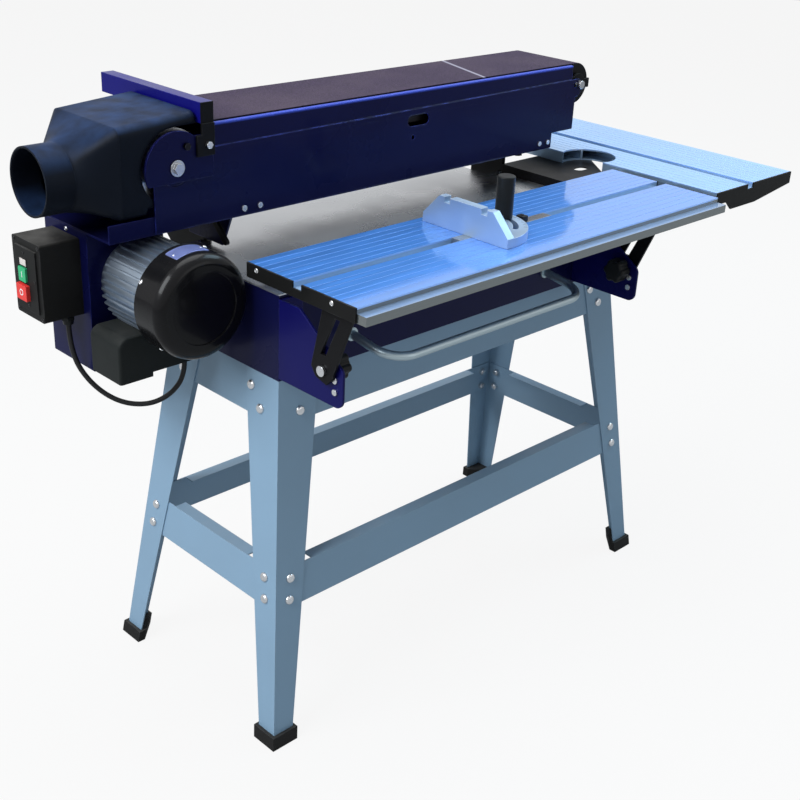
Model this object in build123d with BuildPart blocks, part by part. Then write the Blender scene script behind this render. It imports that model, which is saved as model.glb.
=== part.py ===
from build123d import *
import os
from math import atan2, cos, degrees, hypot, pi, radians, sin

# Belt sanding machine: a tilting belt unit with its motor, a front table with a mitre gauge
# and an end table, on a splayed sheet-metal stand. Millimetres, +Z up, the front is -Y.

os.makedirs("parts", exist_ok=True)

# Stand
stand_top = 603.0
top_half_length = 404.0
top_half_width = 134.0
splay_x = 0.117
splay_y = 0.127
stand_sheet = 2.0
leg_flange_top = 78.0
leg_flange_foot = 38.0
upper_rail_depth = 71.0
lower_rail_low = 231.0
lower_rail_depth = 67.0
rail_lip = 20.0
rail_end_gap = 1.0
lip_end_set_back = 70.0
foot_floor = 6.0
foot_wall = 6.0
foot_height = 22.0
foot_tip = 14.0
foot_clearance = 0.3

# Stand bolts, M8 with dome heads
bolt_radius = 4.0
bolt_clearance = 0.08
dome_radius = 8.0
dome_height = 4.5
dome_share = 0.9
cut_over = 1.0
nut_radius = 7.5
nut_height = 6.5
thread_end = 2.0
lower_bolt_pitch = 36.0
upper_bolt_inset = 64.0
upper_bolt_drop = 25.0
upper_bolt_step_in = 22.0
upper_bolt_step_down = 30.0

# Base box and tray on the stand
base_height = 135.0
base_sheet = 2.0
base_foot_flange = 20.0
base_top_flange = 15.0
corner_gap = 1.0
tray_sheet = 2.0
tray_lip = 62.0
tray_hem = 10.0
tray_post_room = 40.0
base_bolt_spacing = 500.0
base_bolt_inset = 14.0

# Carrying handle on the base front
handle_radius = 7.0
handle_left = -260.0
handle_right = 205.0
handle_height = 643.0
handle_droop = 14.0
handle_reach = 95.0
handle_bend = 44.0
handle_flange_radius = 11.0
handle_flange = 3.0

# Front table
table_top = 780.0
table_rear = -84.0
table_left = -420.0
table_length = 866.0
deck_width = 231.0
deck_height = 22.0
deck_wall = 3.0
ledge_depth = 18.0
ledge_drop = 8.5
slot_from_rear = 111.0
slot_width = 19.0
slot_depth = 9.5
groove_pitch = 15.0
groove_width = 1.2
groove_depth = 0.6
table_cap = 3.0
cap_screw_radius = 4.0
cap_screw_rear = 23.0
cap_screw_front = 184.0
cap_screw_drop = 7.0

# Table brackets and tilting arms
bracket_sheet = 4.0
bracket_left = -top_half_length
bracket_right = 287.0
bracket_reach = 140.0
bracket_low = 608.0
bracket_nose_high = 667.0
bracket_root_high = 733.0
bracket_root_flat = 45.0
bracket_corner = 14.0
bracket_flange = 38.0
bracket_screw_radius = 3.0
bracket_screw_head = 4.8
bracket_screw_inset = 15.0
bracket_screw_rise = 24.0
bracket_screw_pitch = 18.0
arm_sheet = 4.0
arm_gap = 4.0
arm_rear = 2.0
arm_heel = 25.0
arm_bevel = 10.0
arm_boss = 14.0
arm_foot = 8.0
arm_foot_drop = 20.0
arm_toe = 18.0
arm_front = 61.0
arm_slot_width = 11.0
arm_slot_low = 24.0
arm_slot_drop = 12.0
arm_slot_lean = 28.0
table_pivot_y = -240.0
table_pivot_z = 661.0
pivot_bolt_radius = 5.0
pivot_clearance = 0.06
pivot_bolt_reach = 18.0
knob_radius = 21.0
knob_lobe = 7.0
knob_lobes = 6
knob_length = 26.0
knob_floor = 5.0
knob_hub = 3.5
knob_hub_radius = 11.0
knob_gap = 0.5
knob_play = 0.3

# End table
end_left = 471.0
end_width = 256.0
end_front = -297.0
end_length = 550.0
notch_x = 490.0
notch_y = 6.0
notch_radius = 52.0
end_cap_bulge = 16.0
bulge_root = 0.13
bulge_near = 0.2
bulge_far = 0.52
support_left = 364.0
support_right = 650.0
support_front = -95.0
support_rear = 118.0
support_sheet = 2.5
support_arm_front = 82.0
support_skirt_right = 507.0
support_leg_left = 585.0
support_web_front = -45.0
support_web_left = 474.0
support_web_right = 576.0
support_hole_radius = 10.0

# Mitre gauge
mitre_face = -77.0
fence_bar = 15.0
fence_shift = 8.0
fence_foot = 180.0
fence_head = 113.0
fence_height = 50.0
mitre_body_radius = 90.0
mitre_body_height = 15.0
mitre_pivot_set_back = 25.0
mitre_arc_radius = 58.0
mitre_arc_half = 60.0
mitre_stud_radius = 4.0
mitre_arc_width = 9.0
mitre_bar_length = 220.0
mitre_bar_play = 0.2
mitre_lift = 0.3
fence_notch_width = 12.0
fence_notch_depth = 9.0
fence_notch_spacing = 78.0
mitre_handle_radius = 14.5
mitre_handle_height = 68.0
mitre_handle_round = 3.0

# Belt unit across its width, from the front cover to the back plate
cover_y = 34.0
cover_sheet = 2.0
belt_front = 47.0
belt_width = 150.0
belt_sheet = 1.2
drum_margin = 1.0
back_gap = 6.0
back_sheet = 4.0

# Belt unit along its length
belt_top = 953.0
belt_play = 0.3
drive_x = -458.0
drive_radius = 55.0
idler_x = 473.0
idler_radius = 37.0
frame_left = -572.0
frame_right = 400.0
frame_low = 802.0
frame_rise = 27.0
frame_sheet = 3.0
cover_left = -495.0
cover_right = 463.0
cover_band_right = 477.0
cover_band_low = 892.0
cover_band_round = 9.0
cover_low = 803.0
cover_step = 916.0
cover_step_right = 926.0
cover_top = 951.5
strip_left = -393.0
strip_right = 451.0
cover_cut_left = 402.0
cover_cut_top = 831.0
cover_lip = 7.0
cover_slot_x = 37.0
cover_slot_z = 902.0
cover_slot_length = 50.0
cover_slot_height = 18.0
cover_hole_x = 26.0
cover_hole_z = 874.0
cover_hole_radius = 4.0
cover_bolt_x = (-335.5, -305.0, 366.0, 390.0)
cover_bolt_z = 815.0
cover_bolt_radius = 4.5
cover_bolt_head = 3.0
hex_head = 5.0
unit_hex_radius = 5.6
plate_bolt_x = -441.0
plate_bolt_z = 926.0
fence_bolt_x = -405.0
fence_bolt_z = 924.0
plate_left = -505.0
platen_left = -395.0
platen_right = 430.0
platen_sheet = 4.0
platen_depth = 52.0
platen_flange_end = 380.0
platen_inset = 3.0
spacer_inset = 60.0

# Tilt of the unit
tilt_face_y = -33.0
tilt_edge_below_table = 4.0
post_left_x = -335.0
post_right_x = 375.0
post_sheet = 8.0
post_disc = 46.0
post_boss = 15.0
post_rim = 16.0
post_steps = 12
post_shoulder = 16.0
post_front = 124.0
post_rear = 166.0
post_low = 655.0
post_flange = 25.0
post_foot_sheet = 5.0
post_foot_drop = 10.0
post_tail_rear = 242.0
post_tail_right = 205.0
post_tail_drop = 30.0
post_tail_depth = 44.0
quadrant_front = 53.2
quadrant_toe = 78.4
quadrant_low = 745.0
pin_radius = 8.0
pin_play = 0.05
lug_sheet = 4.0
lug_gap = 1.0
lug_radius = 19.0
lock_radius = 34.0
lock_start = 270.0
unit_tilt = 90.0
tilt_stud_radius = 5.0
tilt_slot_play = 0.4
lever_hub = 8.4
lever_reach = 49.0
lever_tip = 5.0
lever_angle = 224.0
lever_width = 11.0

# Drums, shaft and bearings
shaft_radius = 12.0
journal_radius = 10.0
bearing_radius = 18.5
bearing_width = 9.0
bearing_play = 0.03
bearing_seat_play = 0.02
housing_radius = 27.0
housing_floor = 3.0
housing_lip = 1.0
housing_room = 5.0
drum_wall = 5.0
drum_web = 12.0
end_plate_sheet = 4.0
end_plate_radius = 53.0
end_plate_share = 0.8
end_plate_right = -393.0
end_plate_low = 875.0
washer_radius = 12.0
washer_sheet = 2.0
drum_bolt_radius = 8.5
drum_bolt_head = 5.5
running_gap = 0.5
shaft_over = 1.0
bearing_inset = 1.0

# Idler fork, axle and tension lever
axle_radius = 8.0
axle_play = 0.05
axle_neck_radius = 4.5
idler_travel = 12.0
axle_slot_play = 0.5
axle_head_radius = 7.8
axle_head_front = 27.0
axle_over_rear = 4.0
axle_round = 1.0
idler_bearing_radius = 16.0
fork_disc = 20.0
fork_tip = 34.0
fork_tip_depth = 17.0
fork_sheet_front = 4.0
fork_sheet_back = 3.0
fork_depth = 29.0
fork_bar_left = 400.0
fork_bar_length = 12.0
guide_width = 20.0
guide_play = 0.1
guide_left = 290.0
block_left = 310.0
block_length = 50.0
tension_x = 300.0
tension_z = 900.0
tension_hub = 13.0
tension_reach = 84.0
tension_angle = 250.0
tension_grip = 8.0
tension_width = 12.0

# Stop fence
stop_right = -393.0
stop_width = 22.0
stop_low = 955.0
stop_height = 30.0
stop_rear = 288.0
stop_wall = 2.0
lug_plate = 4.0
plug_sheet = 1.5
lug_left = -424.0
lug_low = 908.0

# Dust hood with its hose port
hood_corner_x = -547.0
hood_right = -420.0
hood_front = 36.4
hood_low = 829.6
hood_top = 962.0
hood_rise = 10.0
hood_wall = 3.0
hood_round = 14.0
port_root = -600.0
port_mouth = -645.0
port_radius = 50.0
port_y = 117.0
port_z = 886.0
hood_cut = 57.0
hood_belt_gap = 2.0

# Motor and its bracket
motor_x = -493.0
motor_z = 722.8
motor_front = -80.0
fan_cover_depth = 60.0
fan_cover_radius = 80.0
fan_cover_wall = 2.0
fan_cover_round = 16.0
stator_radius = 65.0
fin_radius = 70.0
fin_count = 36
fin_width = 3.6
stator_front = -26.0
stator_rear = 80.0
motor_flange_y = 98.0
rotor_radius = 38.0
air_gap = 1.0
motor_shaft_radius = 9.5
shield_wall = 6.0
shield_rear_radius = 58.0
shaft_room = 3.0
spigot_play = 0.1
dish_share = 1.6
fan_radius = 60.0
fan_gap = 4.0
fan_blade = 3.0
fan_blades = 6
bracket_plate = 3.0
motor_panel_low = 585.0
motor_web_right = -440.0
motor_web_low = 640.0
motor_frame_rear = 213.0

# Belt drive behind the unit
pulley_radius = 40.0
pulley_front = 222.0
pulley_width = 18.0
groove_bottom = 30.0
drive_belt_width = 10.0
drive_belt_depth = 8.0
drive_belt_play = 0.4
guard_radius = 50.0
guard_rear = 246.0
guard_wall = 2.0

# Terminal box, switch box and cable
terminal_left = -586.0
terminal_width = 148.0
terminal_front = 4.0
terminal_depth = 78.0
terminal_low = 599.0
terminal_high = 670.0
terminal_round = 16.0
lid_width = 56.0
lid_height = 7.0
box_left = -637.0
box_front = 117.0
box_width = 78.0
box_low = 672.0
box_height = 119.0
box_wall = 3.0
box_round = 4.0
face_plate = 3.0
face_plate_width = 58.0
face_plate_height = 96.0
button_y = 163.0
start_z = 738.0
start_width = 20.0
start_height = 22.0
start_proud = 3.0
stop_z = 711.0
stop_button_width = 28.0
stop_button_height = 24.0
stop_proud = 6.0
button_play = 0.3
button_flange = 2.0
button_round = 1.5
cable_radius = 4.0
gland_radius = 9.0
gland_length = 12.0
gland_nut = 5.0
gland_nut_radius = 10.4
gland_taper = 12.0
bend_share = 0.45
cable_start_x = -594.0
cable_start_y = 127.0
cable_end_x = -449.0
cable_end_y = 40.0
cable_start_bend_z = 612.0
cable_near_share = 0.15
cable_near_z = 560.0
cable_low_share = 0.39
cable_low_z = 525.0
cable_bottom_share = 0.66
cable_bottom_z = 517.0
cable_far_share = 0.875
cable_far_z = 534.0
cable_end_bend_z = 566.0

# Overall reach, and the stand's centre seen from the frame's origin below the box's middle
end_right = end_left + end_width
end_rear = end_front + end_length
table_front = table_rear - deck_width - ledge_depth
mid_x = -(port_mouth + end_right) / 2
mid_y = -(table_front + max(end_rear + table_cap, stop_rear)) / 2

# Derived places
base_top = stand_top + base_height
tray_top = base_top + tray_sheet
table_right = table_left + table_length
deck_low = table_top - deck_height
slot_y = table_rear - slot_from_rear
belt_rear = belt_front + belt_width
drum_front = belt_front - drum_margin
drum_rear = belt_rear + drum_margin
back_y = belt_rear + back_gap
back_rear = back_y + back_sheet
cover_inner = cover_y + cover_sheet
plate_front = cover_y - end_plate_sheet
drive_z = belt_top - belt_sheet - belt_play - drive_radius
idler_z = belt_top - belt_sheet - belt_play - idler_radius
tilt_y = (tilt_face_y + belt_top - (table_top - tilt_edge_below_table - belt_front)) / 2
tilt_z = (tilt_face_y + belt_top + (table_top - tilt_edge_below_table - belt_front)) / 2
pulley_rear = pulley_front + pulley_width
stop_left = stop_right - stop_width
stop_front = plate_front
hood_rear = back_rear + hood_wall
end_plate_high = drive_z + end_plate_radius * end_plate_share


def plan(z):
    """Horizontal plane at height z, with its origin over the stand's centre."""
    return Plane(origin=(mid_x, mid_y, z), x_dir=(1, 0, 0), z_dir=(0, 0, 1))


def front(y):
    """Upright plane facing the front at y. Its sketches are seen as (x, z)."""
    return Plane(origin=(mid_x, mid_y + y, 0), x_dir=(1, 0, 0), z_dir=(0, -1, 0))


def side(x):
    """Upright plane facing the end table at x. Its sketches are seen as (y, z)."""
    return Plane(origin=(mid_x + x, mid_y, 0), x_dir=(0, 1, 0), z_dir=(1, 0, 0))


def at(x, y, z):
    """Point given from the stand's centre."""
    return (mid_x + x, mid_y + y, z)


def save(builder, node):
    """Label one finished piece and write it to its own file."""
    builder.part.label = node
    export_step(builder.part, f"parts/{node}.step")


def around(centre, radius, angle):
    """Point on a circle, with the angle in degrees."""
    return (centre[0] + radius * cos(radians(angle)), centre[1] + radius * sin(radians(angle)))


def box_sketch(low_u, low_v, high_u, high_v, mode=Mode.ADD):
    """Rectangle between two corners in the open sketch."""
    with Locations(((low_u + high_u) / 2, (low_v + high_v) / 2)):
        Rectangle(high_u - low_u, high_v - low_v, mode=mode)


def half_length(z):
    """Half the stand's outer length at height z."""
    return top_half_length + (stand_top - z) * splay_x


def half_width(z):
    """Half the stand's outer width at height z."""
    return top_half_width + (stand_top - z) * splay_y


def turned(points, sign_x, sign_y):
    """Points in counter-clockwise order whichever corner they were mirrored to."""
    return points if sign_x * sign_y > 0 else points[::-1]


def angle_points(z, flange, sheet, sign_x, sign_y, grow=0.0):
    """Corners of a leg's L section at height z, thickened by grow on every side."""
    x = half_length(z) + grow
    y = half_width(z) + grow
    length = flange + 2 * grow
    wall = sheet + 2 * grow
    corners = [(0, 0), (length, 0), (length, wall), (wall, wall), (wall, length), (0, length)]
    return turned([(sign_x * (x - u), sign_y * (y - v)) for u, v in corners], sign_x, sign_y)


def foot_points(z, sign_x, sign_y):
    """Corners of a rubber foot at height z: a square with its inner corner cut off."""
    x = half_length(z) + foot_wall
    y = half_width(z) + foot_wall
    size = leg_flange_foot + 2 * foot_wall
    corners = [(0, 0), (size, 0), (size, foot_tip), (foot_tip, size), (0, size)]
    return turned([(sign_x * (x - u), sign_y * (y - v)) for u, v in corners], sign_x, sign_y)


def leg_flange_at(z):
    """Width of a leg's flanges at height z."""
    share = (z - foot_floor) / (stand_top - foot_floor)
    return leg_flange_foot + share * (leg_flange_top - leg_flange_foot)


lower_rail_high = lower_rail_low + lower_rail_depth
upper_rail_low = stand_top - upper_rail_depth
lower_bolt_mid = lower_rail_low + lower_rail_depth / 2
signs = [(-1, -1), (1, -1), (-1, 1), (1, 1)]


def bolt_places():
    """Inset from the corner and height of the bolts of one leg flange."""
    places = []
    for step in (-0.5, 0.5):
        z = lower_bolt_mid + step * lower_bolt_pitch
        places.append((leg_flange_at(z) / 2, z))
    first = stand_top - upper_bolt_drop
    places.append((upper_bolt_inset, first))
    places.append((upper_bolt_inset - upper_bolt_step_in, first - upper_bolt_step_down))
    return places


def bolt_planes(sign_x, sign_y):
    """Planes on the outside of one leg's two flanges, one for each of its bolts."""
    planes = []
    for inset, z in bolt_places():
        x = half_length(z)
        y = half_width(z)
        long_face = at(sign_x * (x - inset), sign_y * y, z)
        short_face = at(sign_x * x, sign_y * (y - inset), z)
        planes.append(Plane(origin=long_face, x_dir=(1, 0, 0), z_dir=(0, sign_y, splay_y)))
        planes.append(Plane(origin=short_face, x_dir=(0, 1, 0), z_dir=(sign_x, 0, splay_x)))
    return planes


all_bolt_planes = [plane for sign in signs for plane in bolt_planes(*sign)]
bolt_reach = 2 * stand_sheet + nut_height + thread_end


def drill_bolts(planes):
    """Clearance holes for stand bolts in the open part."""
    with Locations(*planes):
        Cylinder(bolt_radius + bolt_clearance, 4 * bolt_reach, mode=Mode.SUBTRACT)


def leg(sign_x, sign_y):
    """One tapering leg of L section."""
    with BuildPart() as piece:
        with BuildSketch(plan(foot_floor)):
            Polygon(*angle_points(foot_floor, leg_flange_foot, stand_sheet, sign_x, sign_y), align=None)
        with BuildSketch(plan(stand_top)):
            Polygon(*angle_points(stand_top, leg_flange_top, stand_sheet, sign_x, sign_y), align=None)
        loft(ruled=True)
        drill_bolts(bolt_planes(sign_x, sign_y))
    return piece


for (sign_x, sign_y), place in zip(signs, ("front_left", "front_right", "back_left", "back_right")):
    save(leg(sign_x, sign_y), f"leg_{place}")

# Rubber feet, each with a pocket for the leg's end
with BuildPart() as rubber_feet:
    for sign_x, sign_y in signs:
        with BuildSketch(plan(0)):
            Polygon(*foot_points(0, sign_x, sign_y), align=None)
        with BuildSketch(plan(foot_height)):
            Polygon(*foot_points(foot_height, sign_x, sign_y), align=None)
        loft(ruled=True)
        pocket_top = foot_height + foot_floor
        with BuildSketch(plan(foot_floor)):
            Polygon(
                *angle_points(foot_floor, leg_flange_foot, stand_sheet, sign_x, sign_y, foot_clearance),
                align=None,
            )
        with BuildSketch(plan(pocket_top)):
            flange = leg_flange_at(pocket_top)
            Polygon(
                *angle_points(pocket_top, flange, stand_sheet, sign_x, sign_y, foot_clearance), align=None
            )
        loft(ruled=True, mode=Mode.SUBTRACT)
save(rubber_feet, "rubber_feet")


def web_points(half, sign, low, high):
    """Section of a rail's leaning web, lying inside the leg flanges."""
    outer = stand_sheet
    inner = 2 * stand_sheet
    corners = [
        (sign * (half(low) - outer), low),
        (sign * (half(low) - inner), low),
        (sign * (half(high) - inner), high),
        (sign * (half(high) - outer), high),
    ]
    return corners if sign < 0 else corners[::-1]


# Upper and lower rails: leaning webs with a lip along the top edge
with BuildPart() as stand_rails:
    for low, high in ((upper_rail_low, stand_top), (lower_rail_low, lower_rail_high)):
        reach_x = half_length(high) - 2 * stand_sheet - rail_end_gap
        reach_y = half_width(high) - 2 * stand_sheet - rail_end_gap
        for sign in (-1, 1):
            with BuildSketch(side(-reach_x)):
                Polygon(*web_points(half_width, sign, low, high), align=None)
            extrude(amount=2 * reach_x)
            with BuildSketch(front(reach_y)):
                Polygon(*web_points(half_length, sign, low, high), align=None)
            extrude(amount=2 * reach_y)
            lip_x = reach_x - lip_end_set_back
            lip_y = reach_y - lip_end_set_back
            edge_y = half_width(high) - stand_sheet
            edge_x = half_length(high) - stand_sheet
            lip = stand_sheet + rail_lip
            with BuildSketch(plan(high - stand_sheet)):
                near, far = sorted((sign * edge_y, sign * (edge_y - lip)))
                box_sketch(-lip_x, near, lip_x, far)
                near, far = sorted((sign * edge_x, sign * (edge_x - lip)))
                box_sketch(near, -lip_y, far, lip_y)
            extrude(amount=stand_sheet)
    drill_bolts(all_bolt_planes)
    lip_mid = top_half_width - base_bolt_inset
    with BuildSketch(plan(stand_top - 2 * stand_sheet)):
        with GridLocations(base_bolt_spacing, 2 * lip_mid, 2, 2):
            Circle(bolt_radius + bolt_clearance)
    extrude(amount=4 * stand_sheet, mode=Mode.SUBTRACT)
save(stand_rails, "stand_rails")

# One dome-head bolt and its nut, standing on the outside face of a flange
with BuildPart() as dome_bolt:
    with BuildSketch(Plane.XY):
        Circle(dome_radius)
    extrude(amount=dome_height)
    fillet(dome_bolt.edges().group_by(Axis.Z)[-1], dome_height * dome_share)
    with BuildSketch(Plane.XY):
        Circle(bolt_radius)
    extrude(amount=-bolt_reach)

with BuildPart() as hex_nut:
    with BuildSketch(Plane.XY.offset(-2 * stand_sheet)):
        RegularPolygon(nut_radius, 6)
        Circle(bolt_radius + bolt_clearance, mode=Mode.SUBTRACT)
    extrude(amount=-nut_height)

with BuildPart() as stand_fasteners:
    with Locations(*all_bolt_planes):
        add(dome_bolt.part)
        add(hex_nut.part)
save(stand_fasteners, "stand_fasteners")


# Base box: long panels with flanges, and the end panels between them
def long_panel(sign):
    """Section of a long base panel with its foot and top flanges."""
    outer = top_half_width
    inner = outer - base_sheet
    for low, high, depth in (
        (stand_top, base_top, 0.0),
        (stand_top, stand_top + base_sheet, base_foot_flange),
        (base_top - base_sheet, base_top, base_top_flange),
    ):
        near, far = sorted((sign * outer, sign * (inner - depth)))
        box_sketch(near, low, far, high)


with BuildPart() as base_panels:
    for sign in (-1, 1):
        with BuildSketch(side(-top_half_length)):
            long_panel(sign)
        extrude(amount=2 * top_half_length)
    panel_y = top_half_width - base_sheet
    foot_y = panel_y - base_foot_flange - corner_gap
    for sign in (-1, 1):
        near, far = sorted((sign * top_half_length, sign * (top_half_length - base_sheet)))
        with BuildSketch(plan(stand_top)):
            box_sketch(near, -panel_y, far, panel_y)
        extrude(amount=base_height)
        near, far = sorted((sign * top_half_length, sign * (top_half_length - base_foot_flange)))
        with BuildSketch(plan(stand_top)):
            box_sketch(near, -foot_y, far, foot_y)
        extrude(amount=base_sheet)
    with BuildSketch(plan(stand_top - base_sheet)):
        with GridLocations(base_bolt_spacing, 2 * lip_mid, 2, 2):
            Circle(bolt_radius + bolt_clearance)
    extrude(amount=3 * base_sheet, mode=Mode.SUBTRACT)
save(base_panels, "base_panels")

# Pale tray that closes the base, with a hemmed lip at the rear between the two hinge posts
with BuildPart() as top_tray:
    with BuildSketch(plan(base_top)):
        box_sketch(-top_half_length, -top_half_width, top_half_length, top_half_width)
    extrude(amount=tray_sheet)
    lip_left = post_left_x + tray_post_room
    lip_right = post_right_x - tray_post_room
    lip_rear = top_half_width + tray_lip
    with BuildSketch(plan(base_top)):
        box_sketch(lip_left, top_half_width, lip_right, lip_rear)
    extrude(amount=tray_sheet)
    with BuildSketch(plan(base_top - tray_hem)):
        box_sketch(lip_left, lip_rear - tray_sheet, lip_right, lip_rear)
    extrude(amount=tray_hem)
save(top_tray, "top_tray")

# Carrying handle bent from round bar
with BuildPart() as handle_bar:
    base_face = -top_half_width
    start_y = base_face - handle_flange / 2
    reach_y = base_face - handle_reach
    reach_z = handle_height - handle_droop
    with BuildLine() as handle_path:
        FilletPolyline(
            at(handle_left, start_y, handle_height),
            at(handle_left, reach_y, reach_z),
            at(handle_right, reach_y, reach_z),
            at(handle_right, start_y, handle_height),
            radius=handle_bend,
        )
    with BuildSketch(Plane(origin=handle_path.line @ 0, z_dir=handle_path.line % 0)):
        Circle(handle_radius)
    sweep()
    with BuildSketch(front(base_face)):
        with Locations((handle_left, handle_height), (handle_right, handle_height)):
            Circle(handle_flange_radius)
    extrude(amount=handle_flange)
save(handle_bar, "handle_bar")

# Table brackets on the base front, plates that carry the table's pivots
bracket_root = -top_half_width
bracket_nose = bracket_root - bracket_reach
pivot = (table_pivot_y, table_pivot_z)
screw_y = bracket_nose + bracket_screw_inset
screw_low = bracket_low + bracket_screw_rise
screw_places = [(screw_y, screw_low), (screw_y, screw_low + bracket_screw_pitch)]


def table_bracket(x):
    """One bracket with its left face at x and its flange on the base front."""
    with BuildSketch(side(x)) as web:
        Polygon(
            (bracket_root, bracket_low),
            (bracket_root, bracket_root_high),
            (bracket_root - bracket_root_flat, bracket_root_high),
            (bracket_nose, bracket_nose_high),
            (bracket_nose, bracket_low),
            align=None,
        )
        with Locations(pivot):
            Circle(pivot_bolt_radius + pivot_clearance, mode=Mode.SUBTRACT)
        with Locations(*screw_places):
            Circle(bracket_screw_radius + pivot_clearance, mode=Mode.SUBTRACT)
    extrude(web.sketch, amount=bracket_sheet)
    with BuildSketch(front(bracket_root)) as flange:
        box_sketch(x, bracket_low, x + bracket_sheet + bracket_flange, bracket_root_high)
    extrude(flange.sketch, amount=bracket_sheet)


with BuildPart() as table_brackets:
    table_bracket(bracket_left)
    table_bracket(bracket_right)
    lowest = table_brackets.edges().filter_by(Axis.X).group_by(Axis.Y)[0]
    fillet(lowest, bracket_corner)
save(table_brackets, "table_brackets")


def deck_section(width, with_ledge):
    """Hollow table section: u runs across the deck and v is measured down from its top."""
    box_sketch(0, -deck_height, width, 0)
    if with_ledge:
        box_sketch(width, -deck_height, width + ledge_depth, -ledge_drop)
    rib = deck_wall
    slot_low = slot_from_rear - slot_width / 2
    slot_high = slot_from_rear + slot_width / 2
    first = (rib, slot_low - rib)
    last = (slot_high + rib, width - rib)
    for low, high in (first, last):
        middle = (low + high) / 2
        box_sketch(low, rib - deck_height, middle - rib / 2, -rib, Mode.SUBTRACT)
        box_sketch(middle + rib / 2, rib - deck_height, high, -rib, Mode.SUBTRACT)
    box_sketch(slot_low, -slot_depth, slot_high, 0, Mode.SUBTRACT)
    grooves = int((width - groove_pitch) / groove_pitch)
    for index in range(1, grooves + 1):
        u = index * groove_pitch
        if abs(u - slot_from_rear) > slot_width:
            box_sketch(u - groove_width / 2, -groove_depth, u + groove_width / 2, 0, Mode.SUBTRACT)


def front_deck_plane(x):
    """Plane across the front table at x: u from the rear edge forward, v up from the top."""
    return Plane(origin=at(x, table_rear, table_top), x_dir=(0, -1, 0), z_dir=(-1, 0, 0))


def end_deck_plane(y):
    """Plane across the end table at y: u from its left edge, v up from the top."""
    return Plane(origin=at(end_left, y, table_top), x_dir=(1, 0, 0), z_dir=(0, -1, 0))


# Front table, an extruded deck with a slot for the mitre gauge
with BuildPart() as front_table:
    with BuildSketch(front_deck_plane(table_right)):
        deck_section(deck_width, True)
    extrude(amount=table_length)
save(front_table, "front_table")


def cap_section(width, bulge):
    """End cap of a table: a plate notched at the slot, with a bulge below if it is given."""
    box_sketch(0, -deck_height, width, 0)
    if bulge:
        Polygon(
            (width * bulge_root, -deck_height),
            (width * bulge_near, -deck_height - bulge),
            (width * bulge_far, -deck_height - bulge),
            (width, -deck_height),
            align=None,
        )
    slot_low = slot_from_rear - slot_width / 2
    box_sketch(slot_low, -slot_depth, slot_low + slot_width, 0, Mode.SUBTRACT)


with BuildPart() as front_table_caps:
    for x in (table_left, table_right + table_cap):
        with BuildSketch(front_deck_plane(x)):
            cap_section(deck_width, 0.0)
        extrude(amount=table_cap)
save(front_table_caps, "front_table_caps")

# Dome screws that hold the front table's end caps
with BuildPart() as table_cap_screws:
    for x, outward in ((table_left - table_cap, -1), (table_right + table_cap, 1)):
        with BuildSketch(side(x)):
            for inset in (cap_screw_rear, cap_screw_front):
                with Locations((table_rear - inset, table_top - cap_screw_drop)):
                    Circle(cap_screw_radius)
        extrude(amount=outward * cap_screw_radius / 2)
    fillet(table_cap_screws.faces().filter_by(Axis.X).group_by(Axis.X)[0].edges(), cap_screw_radius / 3)
    fillet(table_cap_screws.faces().filter_by(Axis.X).group_by(Axis.X)[-1].edges(), cap_screw_radius / 3)
save(table_cap_screws, "table_cap_screws")

# Tilting arms under the table: two struts with a slot between them, meeting at the pivot hole
arm_top = deck_low
arm_flange_low = arm_top - arm_sheet
arm_rear_y = table_pivot_y + arm_rear
arm_front_y = table_pivot_y - arm_front
arm_rise = arm_top - table_pivot_z
arm_slot_high = arm_rise - arm_slot_drop


def table_arm(x, flange_left, flange_right):
    """One arm with its left face at x, bolted to the deck through a top flange."""
    with BuildSketch(side(x)) as web:
        with Locations(pivot):
            Polygon(
                (arm_rear, arm_rise),
                (arm_heel, 0.0),
                (arm_heel - arm_bevel, -arm_boss),
                (-arm_foot, -arm_foot_drop),
                (-arm_toe, -arm_bevel),
                (-arm_front, arm_rise),
                align=None,
            )
            Polygon(
                (arm_slot_width / 2, arm_slot_low),
                (-arm_slot_width / 2, arm_slot_low),
                (-arm_slot_width / 2 - arm_slot_lean, arm_slot_high),
                (arm_slot_width / 2 - arm_slot_lean, arm_slot_high),
                align=None,
                mode=Mode.SUBTRACT,
            )
            Circle(pivot_bolt_radius + pivot_clearance, mode=Mode.SUBTRACT)
    extrude(web.sketch, amount=arm_sheet)
    with BuildSketch(plan(arm_flange_low)) as flange:
        box_sketch(flange_left, arm_front_y, flange_right, arm_rear_y)
    extrude(flange.sketch, amount=arm_sheet)


arm_left_x = bracket_left - arm_gap - arm_sheet
arm_right_x = bracket_right + bracket_sheet + arm_gap
with BuildPart() as table_arms:
    table_arm(arm_left_x, arm_left_x, arm_left_x + bracket_flange)
    table_arm(arm_right_x, arm_right_x + arm_sheet - bracket_flange, arm_right_x + arm_sheet)
save(table_arms, "table_arms")


def lobed_knob_sketch():
    """Round knob outline with lobes, in the open sketch."""
    Circle(knob_radius - knob_lobe / 2)
    with PolarLocations(knob_radius - knob_lobe, knob_lobes):
        Circle(knob_lobe)


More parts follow.
